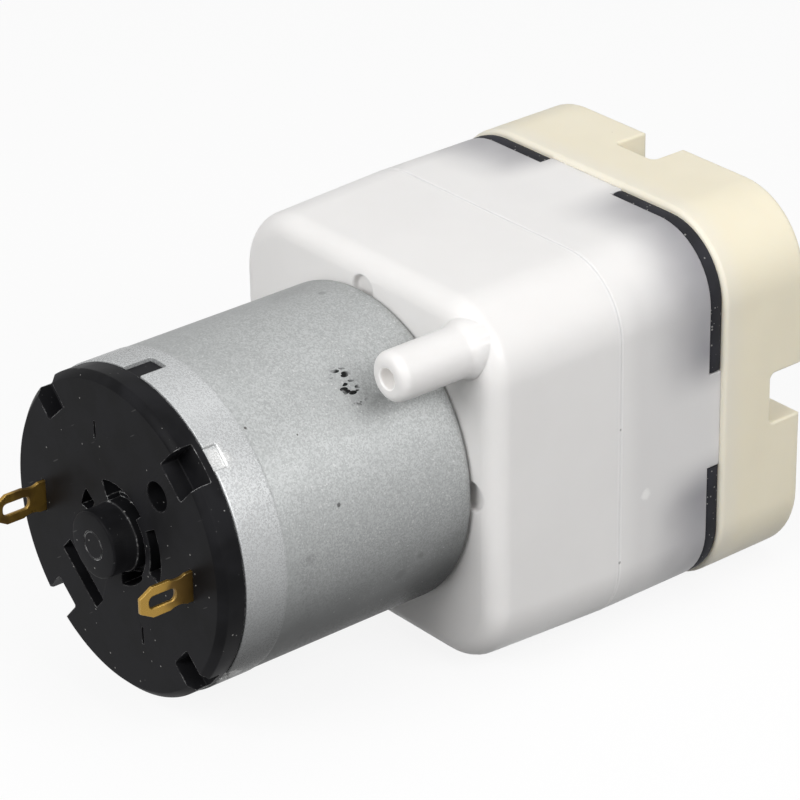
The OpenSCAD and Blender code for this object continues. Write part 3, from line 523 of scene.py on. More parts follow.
def add_node(tree, kind, inputs=None, **settings):
    """A node with its settings, and its inputs given as values or as sockets to link."""
    fresh = tree.nodes.new(kind)
    for key, value in settings.items():
        setattr(fresh, key, value)
    for key, value in (inputs or {}).items():
        if isinstance(value, bpy.types.NodeSocket):
            tree.links.new(value, fresh.inputs[key])
        else:
            fresh.inputs[key].default_value = value
    return fresh


def reckon(tree, operation, *values, clamp=False):
    """A sum on one or two values, each a number or a socket."""
    node = add_node(tree, "ShaderNodeMath", dict(enumerate(values)), operation=operation, use_clamp=clamp)
    return node.outputs[0]


def plus(tree, a, b):
    return reckon(tree, "ADD", a, b)


def minus(tree, a, b):
    return reckon(tree, "SUBTRACT", a, b)


def times(tree, a, b):
    return reckon(tree, "MULTIPLY", a, b)


def reckon_vectors(tree, operation, a, b):
    """A sum on two vectors: a value for a distance or a dot product, and else a vector."""
    outputs = add_node(tree, "ShaderNodeVectorMath", {0: a, 1: b}, operation=operation).outputs
    return outputs["Value" if operation in ("DISTANCE", "DOT_PRODUCT") else "Vector"]


def ramp(tree, value, low, high, to_low=0.0, to_high=1.0):
    """Maps a value from low..high to to_low..to_high, smoothly and within those."""
    spread = {"Value": value, "From Min": low, "From Max": high, "To Min": to_low, "To Max": to_high}
    return add_node(tree, "ShaderNodeMapRange", spread, interpolation_type="SMOOTHSTEP").outputs[0]


def blend(tree, mask, under, over, amount=1.0):
    """The colour over on top of the colour under, by an amount, where the mask is 1."""
    mix = add_node(tree, "ShaderNodeMix", data_type="RGBA")
    tree.links.new(mask if amount == 1.0 else times(tree, mask, amount), mix.inputs["Factor"])
    for place, value in ((MIX_UNDER, under), (MIX_OVER, over)):
        if isinstance(value, bpy.types.NodeSocket):
            tree.links.new(value, mix.inputs[place])
        else:
            mix.inputs[place].default_value = (*value, 1)
    return mix.outputs[MIXED]


def place_of(tree):
    return add_node(tree, "ShaderNodeTexCoord").outputs["Object"]


def coordinates(tree):
    """The place along X, Y and Z, as three values."""
    return add_node(tree, "ShaderNodeSeparateXYZ", {0: place_of(tree)}).outputs[:3]


def noise(tree, scale, detail, rough, vector=None):
    inputs = {"Scale": scale, "Detail": detail, "Roughness": rough, "Vector": vector or place_of(tree)}
    return add_node(tree, "ShaderNodeTexNoise", inputs).outputs[0]


def random_cells(tree, scale, vector):
    """Cells of random shape: the distance to each one's middle, and two random numbers of its own."""
    cells = add_node(tree, "ShaderNodeTexVoronoi", {"Scale": scale, "Vector": vector}).outputs
    numbers = add_node(tree, "ShaderNodeSeparateColor", {0: cells["Color"]}).outputs
    return cells["Distance"], numbers[0], numbers[1]


def rounded_normal(tree, radius):
    return add_node(tree, "ShaderNodeBevel", {"Radius": radius}, samples=BEVEL_SAMPLES).outputs[0]


def effect(name, inputs, outputs, build):
    """A node group with named inputs and outputs, built the first time it is asked for."""
    tree = bpy.data.node_groups.get(name)
    if tree:
        return tree
    tree = bpy.data.node_groups.new(name, "ShaderNodeTree")
    for label, value in inputs.items():
        kind = "NodeSocketVector" if isinstance(value, tuple) else "NodeSocketFloat"
        socket = tree.interface.new_socket(name=label, in_out="INPUT", socket_type=kind)
        socket.default_value = value
    for label in outputs:
        tree.interface.new_socket(name=label, in_out="OUTPUT", socket_type="NodeSocketFloat")
    results = build(tree, tree.nodes.new("NodeGroupInput").outputs)
    taken = tree.nodes.new("NodeGroupOutput").inputs
    for label, socket in results.items():
        tree.links.new(socket, taken[label])
    return tree


def placed_effect(tree, group, **values):
    """One use of an effect in a material, with its own values."""
    used = add_node(tree, "ShaderNodeGroup", node_tree=group)
    for label, value in values.items():
        used.inputs[label.capitalize()].default_value = value
    return used.outputs


def dust_specks():
    """Round specks of dust, each in its own cell."""
    def build(tree, given):
        away, chance, spread = random_cells(tree, given["Scale"], place_of(tree))
        chosen = reckon(tree, "LESS_THAN", chance, given["Share"])
        spot = ramp(tree, minus(tree, times(tree, given["Size"], spread), away), 0.0, 0.03)
        return {"Mask": times(tree, spot, chosen)}
    return effect("Dust specks", {"Scale": 800.0, "Size": 0.2, "Share": 0.3}, ["Mask"], build)


def scratch_strokes():
    """Short thin strokes in one direction, each in its own cell."""
    def build(tree, given):
        turn = add_node(tree, "ShaderNodeVectorRotate", {"Vector": place_of(tree), "Rotation": given["Turn"]},
                        rotation_type="EULER_XYZ")
        drawn = reckon_vectors(tree, "MULTIPLY", turn.outputs[0], given["Stretch"])
        away, chance, _ = random_cells(tree, given["Scale"], drawn)
        chosen = reckon(tree, "LESS_THAN", chance, given["Share"])
        line = ramp(tree, minus(tree, given["Width"], away), 0.0, 0.04)
        return {"Mask": times(tree, line, chosen)}
    inputs = {"Scale": 700.0, "Width": 0.12, "Share": 0.3,
              "Turn": (0.0, 0.0, 0.0), "Stretch": (1.0, 0.1, 1.0)}
    return effect("Scratch strokes", inputs, ["Mask"], build)


def edge_wear_and_highlight():
    """Edges that have been rubbed, found by rounding the surface's normals; its Edge mask, alike along every
    edge, serves as a painted highlight.
    """
    def build(tree, given):
        flat = add_node(tree, "ShaderNodeNewGeometry").outputs["Normal"]
        same_way = reckon_vectors(tree, "DOT_PRODUCT", rounded_normal(tree, given["Radius"]), flat)
        bend = minus(tree, 1.0, same_way)
        edge = ramp(tree, bend, 0.01, 0.12)
        patches = ramp(tree, noise(tree, given["Scale"], 4.0, 0.65), 0.44, 0.62)
        worn = times(tree, edge, patches)
        return {"Mask": reckon(tree, "MULTIPLY", worn, given["Amount"], clamp=True), "Edge": edge}
    return effect("Edge wear", {"Radius": 0.0002, "Scale": 900.0, "Amount": 1.0}, ["Mask", "Edge"], build)


def zinc_spangle():
    """The fine crystals and clouds of a zinc plate, with painted glints on single crystals."""
    def build(tree, given):
        _, tint, chance = random_cells(tree, given["Scale"], place_of(tree))
        fine = noise(tree, times(tree, given["Scale"], 2.2), 3.0, 0.7)
        tone = plus(tree, times(tree, tint, 0.45), times(tree, fine, 0.55))
        glint = reckon(tree, "GREATER_THAN", chance, 0.965)
        return {"Tone": tone, "Clouds": noise(tree, 160.0, 3.0, 0.55), "Spark": glint}
    return effect("Zinc spangle", {"Scale": 2600.0}, ["Tone", "Clouds", "Spark"], build)


def moulded_grain():
    """The faint unevenness of moulded plastic, as a height and its broad part."""
    def build(tree, given):
        broad = noise(tree, times(tree, given["Scale"], 0.12), 2.0, 0.5)
        fine = noise(tree, given["Scale"], 3.0, 0.6)
        return {"Height": plus(tree, times(tree, broad, 0.7), times(tree, fine, 0.3)), "Broad": broad}
    return effect("Moulded grain", {"Scale": 1500.0}, ["Height", "Broad"], build)


def marked_spot():
    """A soft round spot at one place, ragged at its edge."""
    def build(tree, given):
        away = reckon_vectors(tree, "DISTANCE", place_of(tree), given["Centre"])
        ragged = times(tree, noise(tree, 1400.0, 3.0, 0.6), given["Radius"])
        inside = minus(tree, given["Radius"], plus(tree, away, ragged))
        return {"Mask": ramp(tree, reckon(tree, "DIVIDE", inside, given["Radius"]), -0.45, 0.1)}
    return effect("Marked spot", {"Centre": (0.0, 0.0, 0.0), "Radius": 0.001}, ["Mask"], build)


def spot_mask(tree, centre, radius):
    """The mask of a marked spot whose place and radius are in millimetres."""
    place = tuple(v * MM for v in centre)
    return placed_effect(tree, marked_spot(), centre=place, radius=radius * MM)["Mask"]


def strongest(tree, masks):
    most = masks[0]
    for mask in masks[1:]:
        most = reckon(tree, "MAXIMUM", most, mask)
    return most


# Finishes

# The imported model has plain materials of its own; these names keep clear of them
FINISH_PREFIX = "finished_"

# The four notches of the cap, with a crimp of the can at each: angle in degrees, width in millimetres
NOTCHES = ((45.7, 3.9), (132.6, 3.4), (-43, 2.9), (-132, 3.3))

# Marks, each with its place and radius in millimetres
CAN_STAINS = (  # and how strong it is
    ((14.98, -8.22, -5.62), 0.9, 0.30),
    ((15.7, -6.1, -4.2), 0.6, 0.35),
    ((15.34, -15.52, 4.54), 0.28, 0.9),
    ((-1.61, -3.54, 15.92), 0.5, 0.35),
    ((15.99, -19.51, 0.59), 0.8, 0.18),
)
SCORED_PATCHES = (((8.9, -9.9, 13.3), 1.3), ((9.8, -9.9, 12.6), 1.3), ((10.75, -9.6, 11.85), 1.2))
HEAD_MARKS = (  # and how strong it is, and its colour
    ((19.25, 18.80, -5.0), 0.75, 0.6, (0.95, 0.94, 0.92)),
    ((19.25, 15.40, 3.1), 0.22, 0.7, (0.25, 0.24, 0.23)),
    ((19.25, 15.50, -11.3), 0.22, 0.7, (0.20, 0.19, 0.18)),
)
RUBBED_AT_R, RUBBED_AT_Y, RUBBED_R = 16.05, -25.9, 1.7

# Between which two places a tone fades
BAND_FADE = (-22.35 * MM, -22.05 * MM)
# Painted shade on the can's underside fades out between these heights
UNDERSIDE_SHADE_FADE = (-12.0 * MM, 6.0 * MM)
TONGUE_FADE = (2.6 * MM, 8.0 * MM)
SHEET_FADE = (18.5 * MM, 27.6 * MM)
# Painted shade on the holder's right side fades in across these places
SIDE_FADE = (16.5 * MM, 19.0 * MM)
SIDE_START = (15.6 * MM, 18.5 * MM)
# Painted light along the seam fades out across these distances
SEAM_FADE = (0.12 * MM, 0.36 * MM)
SEAM_EDGE_FADE = (0.15 * MM, 0.5 * MM)
# Painted glow in the bore fades out between these places
BORE_GLOW_FADE = (-9.0 * MM, -4.0 * MM)
LIP_FADE = (28.6 * MM, 31.8 * MM)
TARNISH_FADE = (-31.0 * MM, -29.2 * MM)


def scaled(tint, by):
    """A colour made darker or lighter."""
    return tuple(min(v * by, 1) for v in tint)


def new_finish(name, **constants):
    """A material with a Principled shader and its constant values."""
    material = bpy.data.materials.new(FINISH_PREFIX + name)
    material.use_nodes = True
    tree = material.node_tree
    tree.nodes.clear()
    shader = tree.nodes.new("ShaderNodeBsdfPrincipled")
    tree.links.new(shader.outputs[0], tree.nodes.new("ShaderNodeOutputMaterial").inputs["Surface"])
    for label, value in constants.items():
        shader.inputs[label.replace("_", " ")].default_value = value
    return material, tree, shader.inputs


def relief(tree, height, strength, depth, edge=0.0):
    """Bump from a height, over edges rounded by a radius."""
    inputs = {"Height": height, "Strength": strength, "Distance": depth}
    if edge:
        inputs["Normal"] = rounded_normal(tree, edge)
    return add_node(tree, "ShaderNodeBump", inputs).outputs[0]


def connect(tree, inputs, **sockets):
    for label, socket in sockets.items():
        tree.links.new(socket, inputs[label.replace("_", " ")])


def zinc_finish(c):
    """Zinc plated steel with fine spangle, painted glints on single crystals, painted shade towards the
    bottom of the can, rubbed marks and a few dark scratches.
    """
    material, tree, shader = new_finish("zinc_plate", Metallic=0.38, Specular_IOR_Level=0.16,
                                        Specular_Tint=(0.3, 0.3, 0.3, 1))
    crystals = placed_effect(tree, zinc_spangle(), scale=7400.0)
    clouds = crystals["Clouds"]
    bright = ramp(tree, crystals["Tone"], 0.28, 0.72)
    tone = blend(tree, bright, scaled(c.zinc, 0.85), scaled(c.zinc, 1.17))
    tone = blend(tree, ramp(tree, clouds, 0.35, 0.7, 0.0, 0.35), tone, scaled(c.zinc, 0.78))
    # Painted glints: single crystals made bright where the clouds allow
    flecks = times(tree, crystals["Spark"], ramp(tree, clouds, 0.42, 0.60, 0.05, 0.28))
    tone = blend(tree, flecks, tone, c.zinc_glint)
    _, along, height = coordinates(tree)
    band = ramp(tree, along, *BAND_FADE, 1.0, 0.0)
    tone = blend(tree, band, tone, c.zinc_band, 0.38)
    # Painted shade: the zinc is darkened towards the bottom of the can, with a ragged edge
    uneven = times(tree, minus(tree, clouds, 0.5), 5.0 * MM)
    underside_shade = ramp(tree, plus(tree, height, uneven), *UNDERSIDE_SHADE_FADE, 0.95, 0.0)
    tone = blend(tree, underside_shade, tone, scaled(c.zinc, 0.13))
    hairs = placed_effect(tree, scratch_strokes(), scale=1400.0, width=0.09, share=0.35,
                          turn=(0.3, 0.0, 0.5), stretch=(1.0, 0.12, 1.0))
    tone = blend(tree, hairs["Mask"], tone, c.zinc_hair, 0.35)
    for at, _ in NOTCHES:
        x, z = polar(RUBBED_AT_R, at)
        tone = blend(tree, spot_mask(tree, (x, RUBBED_AT_Y, z), RUBBED_R), tone, c.zinc_rubbed, 0.65)
    stains = strongest(tree, [times(tree, spot_mask(tree, centre, radius), strength)
                              for centre, radius, strength in CAN_STAINS])
    tone = blend(tree, stains, tone, c.zinc_stain)
    strokes = placed_effect(tree, scratch_strokes(), scale=2400.0, width=0.52, share=0.85,
                            turn=(0.0, 0.55, 0.35), stretch=(1.0, 0.35, 1.0))
    patches = strongest(tree, [spot_mask(tree, centre, radius) for centre, radius in SCORED_PATCHES])
    tone = blend(tree, times(tree, strokes["Mask"], patches), tone, c.zinc_score)
    specks = placed_effect(tree, dust_specks(), scale=600.0, size=0.13, share=0.12)
    tone = blend(tree, specks["Mask"], tone, c.zinc_speck, 0.8)
    rough = ramp(tree, crystals["Tone"], 0.3, 0.7, 0.34, 0.46)
    connect(tree, shader, Base_Color=tone, Roughness=minus(tree, rough, times(tree, band, 0.12)),
            Normal=relief(tree, crystals["Tone"], 0.35, 0.02 * MM, 0.12 * MM))
    return material


def black_plastic_finish(c):
    """Black moulded plastic with scuffed edges, painted edge highlights, fine scratches and dust."""
    material, tree, shader = new_finish("black_plastic", Specular_IOR_Level=0.05)
    grain = placed_effect(tree, moulded_grain(), scale=2200.0)
    wear_and_highlight = placed_effect(tree, edge_wear_and_highlight(), radius=0.13 * MM, scale=1300.0, amount=1.0)
    specks = placed_effect(tree, dust_specks(), scale=1500.0, size=0.17, share=0.17)
    strokes = placed_effect(tree, scratch_strokes(), scale=1200.0, width=0.09, share=0.7,
                            turn=(0.0, 0.6, 0.0), stretch=(0.12, 1.0, 1.0))
    tone = blend(tree, ramp(tree, grain["Broad"], 0.35, 0.65), c.black, scaled(c.black, 1.9))
    tone = blend(tree, strokes["Mask"], tone, c.scratch, 0.35)
    # Painted highlight: a pale line along every edge, then pale patches along the edges that are partly
    # scuffs and partly painted highlight
    tone = blend(tree, wear_and_highlight["Edge"], tone, c.scuff_and_edge_highlight, 0.10)
    tone = blend(tree, wear_and_highlight["Mask"], tone, c.scuff_and_edge_highlight)
    tone = blend(tree, specks["Mask"], tone, c.dust, 0.55)
    connect(tree, shader, Base_Color=tone, Roughness=ramp(tree, grain["Broad"], 0.3, 0.7, 0.40, 0.52),
            Normal=relief(tree, grain["Height"], 0.25, 0.03 * MM, 0.1 * MM))
    return material


def white_plastic_finish(c):
    """White, slightly translucent plastic, with painted shade near the sheet's corners where the rubber lies
    behind it, painted shade on the holder's right side, a painted pale band along the seam and a painted glow
    in the nozzle's bore.
    """
    material, tree, shader = new_finish("white_plastic", Subsurface_Weight=0.6, Subsurface_Scale=0.0006,
                                        Subsurface_Radius=(1.0, 0.98, 0.96), IOR=1.49,
                                        Emission_Strength=1.0)
    grain = placed_effect(tree, moulded_grain(), scale=900.0)
    broad = grain["Broad"]
    x, y, z = coordinates(tree)
    tone = blend(tree, ramp(tree, broad, 0.35, 0.7, 0.0, 0.5), c.white, scaled(c.white, 0.965))

    side = reckon(tree, "MINIMUM", reckon(tree, "ABSOLUTE", x), reckon(tree, "ABSOLUTE", z))
    beside_tongue = ramp(tree, side, *TONGUE_FADE)
    uneven = times(tree, minus(tree, broad, 0.5), 2.2 * MM)
    near_sheet = ramp(tree, plus(tree, y, uneven), *SHEET_FADE)
    # Painted shade: darker beside the tongues near the rubber sheet, as if from the rubber behind the plastic
    shade = times(tree, times(tree, beside_tongue, near_sheet), ramp(tree, broad, 0.2, 0.8, 0.75, 1.0))
    tone = blend(tree, shade, tone, c.behind, 0.8)
    # Painted shade: the holder's right side made darker all over
    right_side = times(tree, ramp(tree, x, *SIDE_FADE), ramp(tree, y, *SIDE_START))
    tone = blend(tree, right_side, tone, c.behind, 0.12)

    from_seam = reckon(tree, "ABSOLUTE", minus(tree, y, SEAM))
    # Painted light: a pale band along the seam, over the shade in its groove
    tone = blend(tree, ramp(tree, from_seam, *SEAM_FADE, 0.9, 0.0), tone, c.seam)
    specks = placed_effect(tree, dust_specks(), scale=500.0, size=0.1, share=0.1)
    tone = blend(tree, specks["Mask"], tone, c.white_speck, 0.35)
    for centre, radius, strength, mark in HEAD_MARKS:
        tone = blend(tree, spot_mask(tree, centre, radius), tone, mark, strength)

    s = bpy.context.scene.pump_head
    axis = add_node(tree, "ShaderNodeCombineXYZ", {0: s.nozzle_x, 1: y, 2: s.nozzle_z}).outputs[0]
    in_bore = reckon(tree, "LESS_THAN", reckon_vectors(tree, "DISTANCE", place_of(tree), axis),
                     s.bore_r + 0.15 * MM)
    # Painted glow: the bore's wall glows faintly near the nozzle's tip, standing in for light through the
    # wall
    bore_glow_mask = times(tree, in_bore, ramp(tree, y, *BORE_GLOW_FADE, 1.0, 0.0))
    edge = ramp(tree, from_seam, *SEAM_EDGE_FADE, 0.0, 0.18 * MM)
    connect(tree, shader, Base_Color=tone, Roughness=ramp(tree, broad, 0.3, 0.7, 0.34, 0.46),
            Emission_Color=blend(tree, bore_glow_mask, (0, 0, 0), c.bore_glow),
            Normal=relief(tree, grain["Height"], 0.12, 0.05 * MM, edge))
    return material


def cream_plastic_finish(c):
    """Cream moulded plastic with faint specks, a paler lip and painted highlights along its edges."""
    material, tree, shader = new_finish("cream_plastic", Subsurface_Weight=0.2, Subsurface_Scale=0.0010,
                                        Subsurface_Radius=(1.0, 0.85, 0.6), IOR=1.5)
    grain = placed_effect(tree, moulded_grain(), scale=1100.0)
    tone = blend(tree, ramp(tree, grain["Broad"], 0.3, 0.7, 0.0, 0.6), c.cream, scaled(c.cream, 0.95))
    along = coordinates(tree)[1]
    tone = blend(tree, ramp(tree, along, *LIP_FADE, 0.45, 0.0), tone, c.cream_lip)
    specks = placed_effect(tree, dust_specks(), scale=600.0, size=0.12, share=0.2)
    tone = blend(tree, specks["Mask"], tone, c.cream_speck, 0.35)
    wear_and_highlight = placed_effect(tree, edge_wear_and_highlight(), radius=0.2 * MM, scale=700.0, amount=0.5)
    # Painted highlight: a paler line along every edge
    tone = blend(tree, wear_and_highlight["Edge"], tone, c.cream_edge_highlight, 0.25)
    connect(tree, shader, Base_Color=tone, Roughness=ramp(tree, grain["Broad"], 0.3, 0.7, 0.36, 0.48),
            Normal=relief(tree, grain["Height"], 0.15, 0.05 * MM, 0.2 * MM))
    return material


def rubber_finish(c):
    """Dull black rubber with clinging dust."""
    material, tree, shader = new_finish("black_rubber", Specular_IOR_Level=0.2)
    grain = placed_effect(tree, moulded_grain(), scale=1800.0)
    specks = placed_effect(tree, dust_specks(), scale=2500.0, size=0.3, share=0.3)
    wear_and_highlight = placed_effect(tree, edge_wear_and_highlight(), radius=0.15 * MM, scale=1200.0, amount=0.4)
    tone = blend(tree, ramp(tree, grain["Broad"], 0.4, 0.7), c.rubber, scaled(c.rubber, 2))
    tone = blend(tree, wear_and_highlight["Mask"], tone, scaled(c.rubber, 6))
    tone = blend(tree, specks["Mask"], tone, c.dust, 0.4)
    connect(tree, shader, Base_Color=tone, Roughness=ramp(tree, grain["Height"], 0.3, 0.7, 0.62, 0.8),
            Normal=relief(tree, grain["Height"], 0.5, 0.04 * MM))
    return material


def brass_finish(c):
    """Golden brass, tarnished brown in blotches and where it leaves the cap, with painted highlights along
    its edges.
    """
    material, tree, shader = new_finish("brass", Metallic=0.75)
    grain = placed_effect(tree, moulded_grain(), scale=2400.0)
    along = coordinates(tree)[1]
    uneven = times(tree, minus(tree, grain["Broad"], 0.5), 3.0 * MM)
    near_cap = ramp(tree, plus(tree, along, uneven), *TARNISH_FADE)
    blotches = ramp(tree, grain["Broad"], 0.45, 0.62, 0.0, 0.7)
    tone = blend(tree, strongest(tree, [times(tree, near_cap, 0.15), blotches]), c.brass, c.tarnish)
    wear_and_highlight = placed_effect(tree, edge_wear_and_highlight(), radius=0.08 * MM, scale=2500.0, amount=0.8)
    # Painted highlight: a paler line along every edge
    tone = blend(tree, wear_and_highlight["Edge"], tone, c.brass_edge_highlight, 0.4)
    connect(tree, shader, Base_Color=tone, Roughness=ramp(tree, grain["Height"], 0.3, 0.7, 0.24, 0.46),
            Normal=relief(tree, grain["Height"], 0.4, 0.03 * MM, 0.06 * MM))
    return material


def metal_finish(name, tint, rough, fine, streaked=0.0):
    """Plain metal with a fine surface; streaked turns it into drawn or laminated stock."""
    material, tree, shader = new_finish(name, Metallic=1.0)
    grain = placed_effect(tree, moulded_grain(), scale=fine)
    height = grain["Height"]
    tone = blend(tree, ramp(tree, grain["Broad"], 0.3, 0.7), scaled(tint, 0.8), scaled(tint, 1.15))
    roughness = ramp(tree, height, 0.3, 0.7, rough - 0.06, rough + 0.08)
    if streaked:
        stacked = reckon_vectors(tree, "MULTIPLY", place_of(tree), (40.0, 2000.0, 40.0))
        height = noise(tree, streaked, 1.0, 0.5, stacked)
        tone = blend(tree, ramp(tree, height, 0.4, 0.6, 0.0, 0.5), tone, scaled(tint, 0.45))
    connect(tree, shader, Base_Color=tone, Roughness=roughness, Normal=relief(tree, height, 0.3, 0.02 * MM))
    return material


def dull_finish(name, tint, rough, fine, speck=0.0):
    """Unpolished moulded or pressed material, with pores if speck is given."""
    material, tree, shader = new_finish(name)
    grain = placed_effect(tree, moulded_grain(), scale=fine)
    tone = blend(tree, ramp(tree, grain["Broad"], 0.3, 0.7), scaled(tint, 0.85), scaled(tint, 1.15))
    if speck:
        pores = placed_effect(tree, dust_specks(), scale=2500.0, size=0.35, share=speck)
        tone = blend(tree, pores["Mask"], tone, scaled(tint, 0.3))
    roughness = ramp(tree, grain["Height"], 0.3, 0.7, rough - 0.08, rough + 0.08)
    connect(tree, shader, Base_Color=tone, Roughness=roughness,
            Normal=relief(tree, grain["Height"], 0.35, 0.03 * MM))
    return material


def enamelled_wire_finish(c):
    """Copper wire wound in even turns under clear enamel, with painted shade between the turns."""
    material, tree, shader = new_finish("copper_wire", Metallic=0.75, Coat_Weight=0.4, Coat_Roughness=0.15)
    waves = {"Scale": 1300.0, "Distortion": 0.6, "Vector": place_of(tree)}
    turns = add_node(tree, "ShaderNodeTexWave", waves, bands_direction="DIAGONAL").outputs[1]
    # Painted shade: darker copper in the grooves between the turns
    tone = blend(tree, turns, scaled(c.copper, 0.35), c.copper)
    connect(tree, shader, Base_Color=tone, Roughness=ramp(tree, turns, 0.2, 0.9, 0.5, 0.28),
            Normal=relief(tree, turns, 0.8, 0.12 * MM))
    return material


FINISHES = {
    "zinc_plate": zinc_finish,
    "black_plastic": black_plastic_finish,
    "white_plastic": white_plastic_finish,
    "cream_plastic": cream_plastic_finish,
    "black_rubber": rubber_finish,
    "brass": brass_finish,
    "copper_wire": enamelled_wire_finish,
    "bright_steel": lambda c: metal_finish("bright_steel", c.steel, 0.24, 3000.0),
    "core_steel": lambda c: metal_finish("core_steel", c.iron, 0.42, 1500.0, streaked=1.0),
    "copper_bars": lambda c: metal_finish("copper_bars", c.copper, 0.3, 2000.0, streaked=0.6),
    "bronze": lambda c: dull_finish("bronze", c.bronze, 0.55, 2500.0, speck=0.5),
    "ferrite": lambda c: dull_finish("ferrite", c.ferrite, 0.62, 1500.0, speck=0.2),
    "carbon": lambda c: dull_finish("carbon", c.carbon, 0.5, 2500.0, speck=0.3),
    "inner_white": lambda c: dull_finish("inner_white", c.white, 0.45, 1200.0),
}


def finish(name):
    """The finish with this name, made the first time it is asked for."""
    made_before = bpy.data.materials.get(FINISH_PREFIX + name)
    return made_before or FINISHES[name](bpy.context.scene.pump_colours)


# The motor's pieces

WINDOW_ANGLES = (90, 270)
MOTOR_SCREW_ANGLES = (0, 180)
VENT_ANGLE = 45.6
POCKET_ANGLE = 228
GROOVE_ANGLES = (-82, 108)

# Slots round the boss: inner and outer radius in millimetres, first and last angle
BOSS_SLOTS = ((3.9, 5.5, 40, 112), (3.9, 5.5, 142, 170), (5.25, 6.85, -22, 30), (3.9, 4.8, -86, -32))

# Slits in the cap's face: place across, lower and upper end, all in millimetres
SLITS = ((-2.55, 9.1, 10.9), (3.45, -9.9, -8.1))
SLIT_HALF = 0.125

# Where the cap's inner lands and its collar for the bearing end
LAND_END = RIM + 1.2 * MM


def stood(bm, out, along, way=1):
    """Turns a prism so that its Y points along +x and its outline's z runs along the axis."""
    return moved(bm, Matrix(((0, 1, 0, out), (0, 0, way, along), (1, 0, 0, 0), (0, 0, 0, 1))))


def can_solid(s):
    """The drawn can with its swaged rim band, front edge and bearing boss, as a turned wall."""
    band_r = s.radius + s.band_rise
    band_end = RIM + s.band_len
    inner = s.radius - s.wall
    lip, step, neck, fillet = 0.15 * MM, 0.2 * MM, 0.3 * MM, 0.6 * MM
    profile = [(inner, RIM), (band_r - lip, RIM), (band_r - 0.04 * MM, RIM + 0.04 * MM),
               (band_r, RIM + lip), (band_r, band_end - step),
               (s.radius + 0.5 * s.band_rise, band_end), (s.radius, band_end + step)]
    profile += [(s.radius - inset, y) for inset, y in rounded_end(s.edge, 0, 1, 8)]
    profile += [(s.boss_r + neck, 0), (s.boss_r, neck),
                (s.boss_r, s.boss_len - step), (s.boss_r - step, s.boss_len), (s.bush_r, s.boss_len),
                (s.bush_r, -s.wall), (inner - fillet, -s.wall), (inner, -s.wall - fillet)]
    return turned(profile, steps=180, closed=True)


def crimp_cutter(s, at):
    """A crimp struck into the rim: narrow at its floor and wider at the surface."""
    loops = []
    for rise, side in ((0.0, 0.0), (0.6, 0.06 * MM), (1.0, 0.2 * MM), (1.6, 0.5 * MM)):
        half = s.dent_w / 2 + side
        outline = softened(rectangle(-half, half, -s.dent_len - side, CLEAR), 0.2 * MM)
        loops.append((outline, s.dent_depth * rise))
    floor = s.radius + s.band_rise - s.dent_depth
    return moved(stood(lofted(loops), floor, RIM, way=-1), around(at))


def window_cutter(s, at):
    """A window in the can's rim, open at the rim, with small rounded corners."""
    outline = softened(rectangle(-s.window_w / 2, s.window_w / 2, -CLEAR, s.window_len), 0.25 * MM)
    cutter = prism(outline, s.radius - s.wall - CLEAR, s.radius + CLEAR)
    return moved(stood(cutter, 0, RIM), around(at))


class PUMP_OT_motor_can(bpy.types.Operator):
    """Builds the drawn motor can with its rim windows and crimps"""
    bl_idname = "air_pump.motor_can"
    bl_label = "Motor can"

    def execute(self, context):
        s = context.scene.pump_can
        cuts = [window_cutter(s, at) for at in WINDOW_ANGLES]
        cuts += [crimp_cutter(s, at) for at, _ in NOTCHES]
        for at in MOTOR_SCREW_ANGLES:
            cuts.append(rod(s.screw_hole, -s.wall - CLEAR, CLEAR, polar(s.screw_at, at)))
        can = joined("motor_can_shell", can_solid(s), cut=cuts)
        placed(can, "motor_can", finish("zinc_plate"))
        return {"FINISHED"}


def cap_face(s):
    return RIM - s.flange - s.disc


def cap_solid(s, bush_r):
    """The end cap turned as one solid: boss, chamfered face, side, flange and plug."""
    face = cap_face(s)
    fillet, corner, tip = 0.25 * MM, 0.1 * MM, 0.2 * MM
    rim_r = s.radius - s.chamfer
    plug_in = s.plug_r - s.plug_wall
    collar_r = bush_r + 1 * MM
    bore_end = BOSS_END + s.boss_wall
    profile = [(0, BOSS_END)]
    profile += [(s.boss_r - inset, y) for inset, y in reversed(rounded_end(0.22 * MM, BOSS_END, -1, 4))]
    profile += [(s.boss_r, face - fillet), (s.boss_r + 0.07 * MM, face - 0.07 * MM),
                (s.boss_r + fillet, face), (rim_r - 0.12 * MM, face), (rim_r, face + 0.04 * MM),
                (s.radius - 0.05 * MM, face + s.chamfer - 0.02 * MM), (s.radius, face + s.chamfer + corner),
                (s.radius, RIM - corner), (s.radius - corner, RIM), (s.plug_r, RIM),
                (s.plug_r, PLUG_END - tip), (s.plug_r - tip, PLUG_END), (plug_in, PLUG_END), (plug_in, RIM),
                (collar_r, RIM), (collar_r, LAND_END), (bush_r, LAND_END), (bush_r, bore_end), (0, bore_end)]
    return turned(profile, steps=192)


def tag_place(tag, side, half, width, r):
    """A rounded rectangle round a tag's place in the cap."""
    return box_outline(side * tag.at - half, side * tag.at + half, width, r, shift=tag.mid)


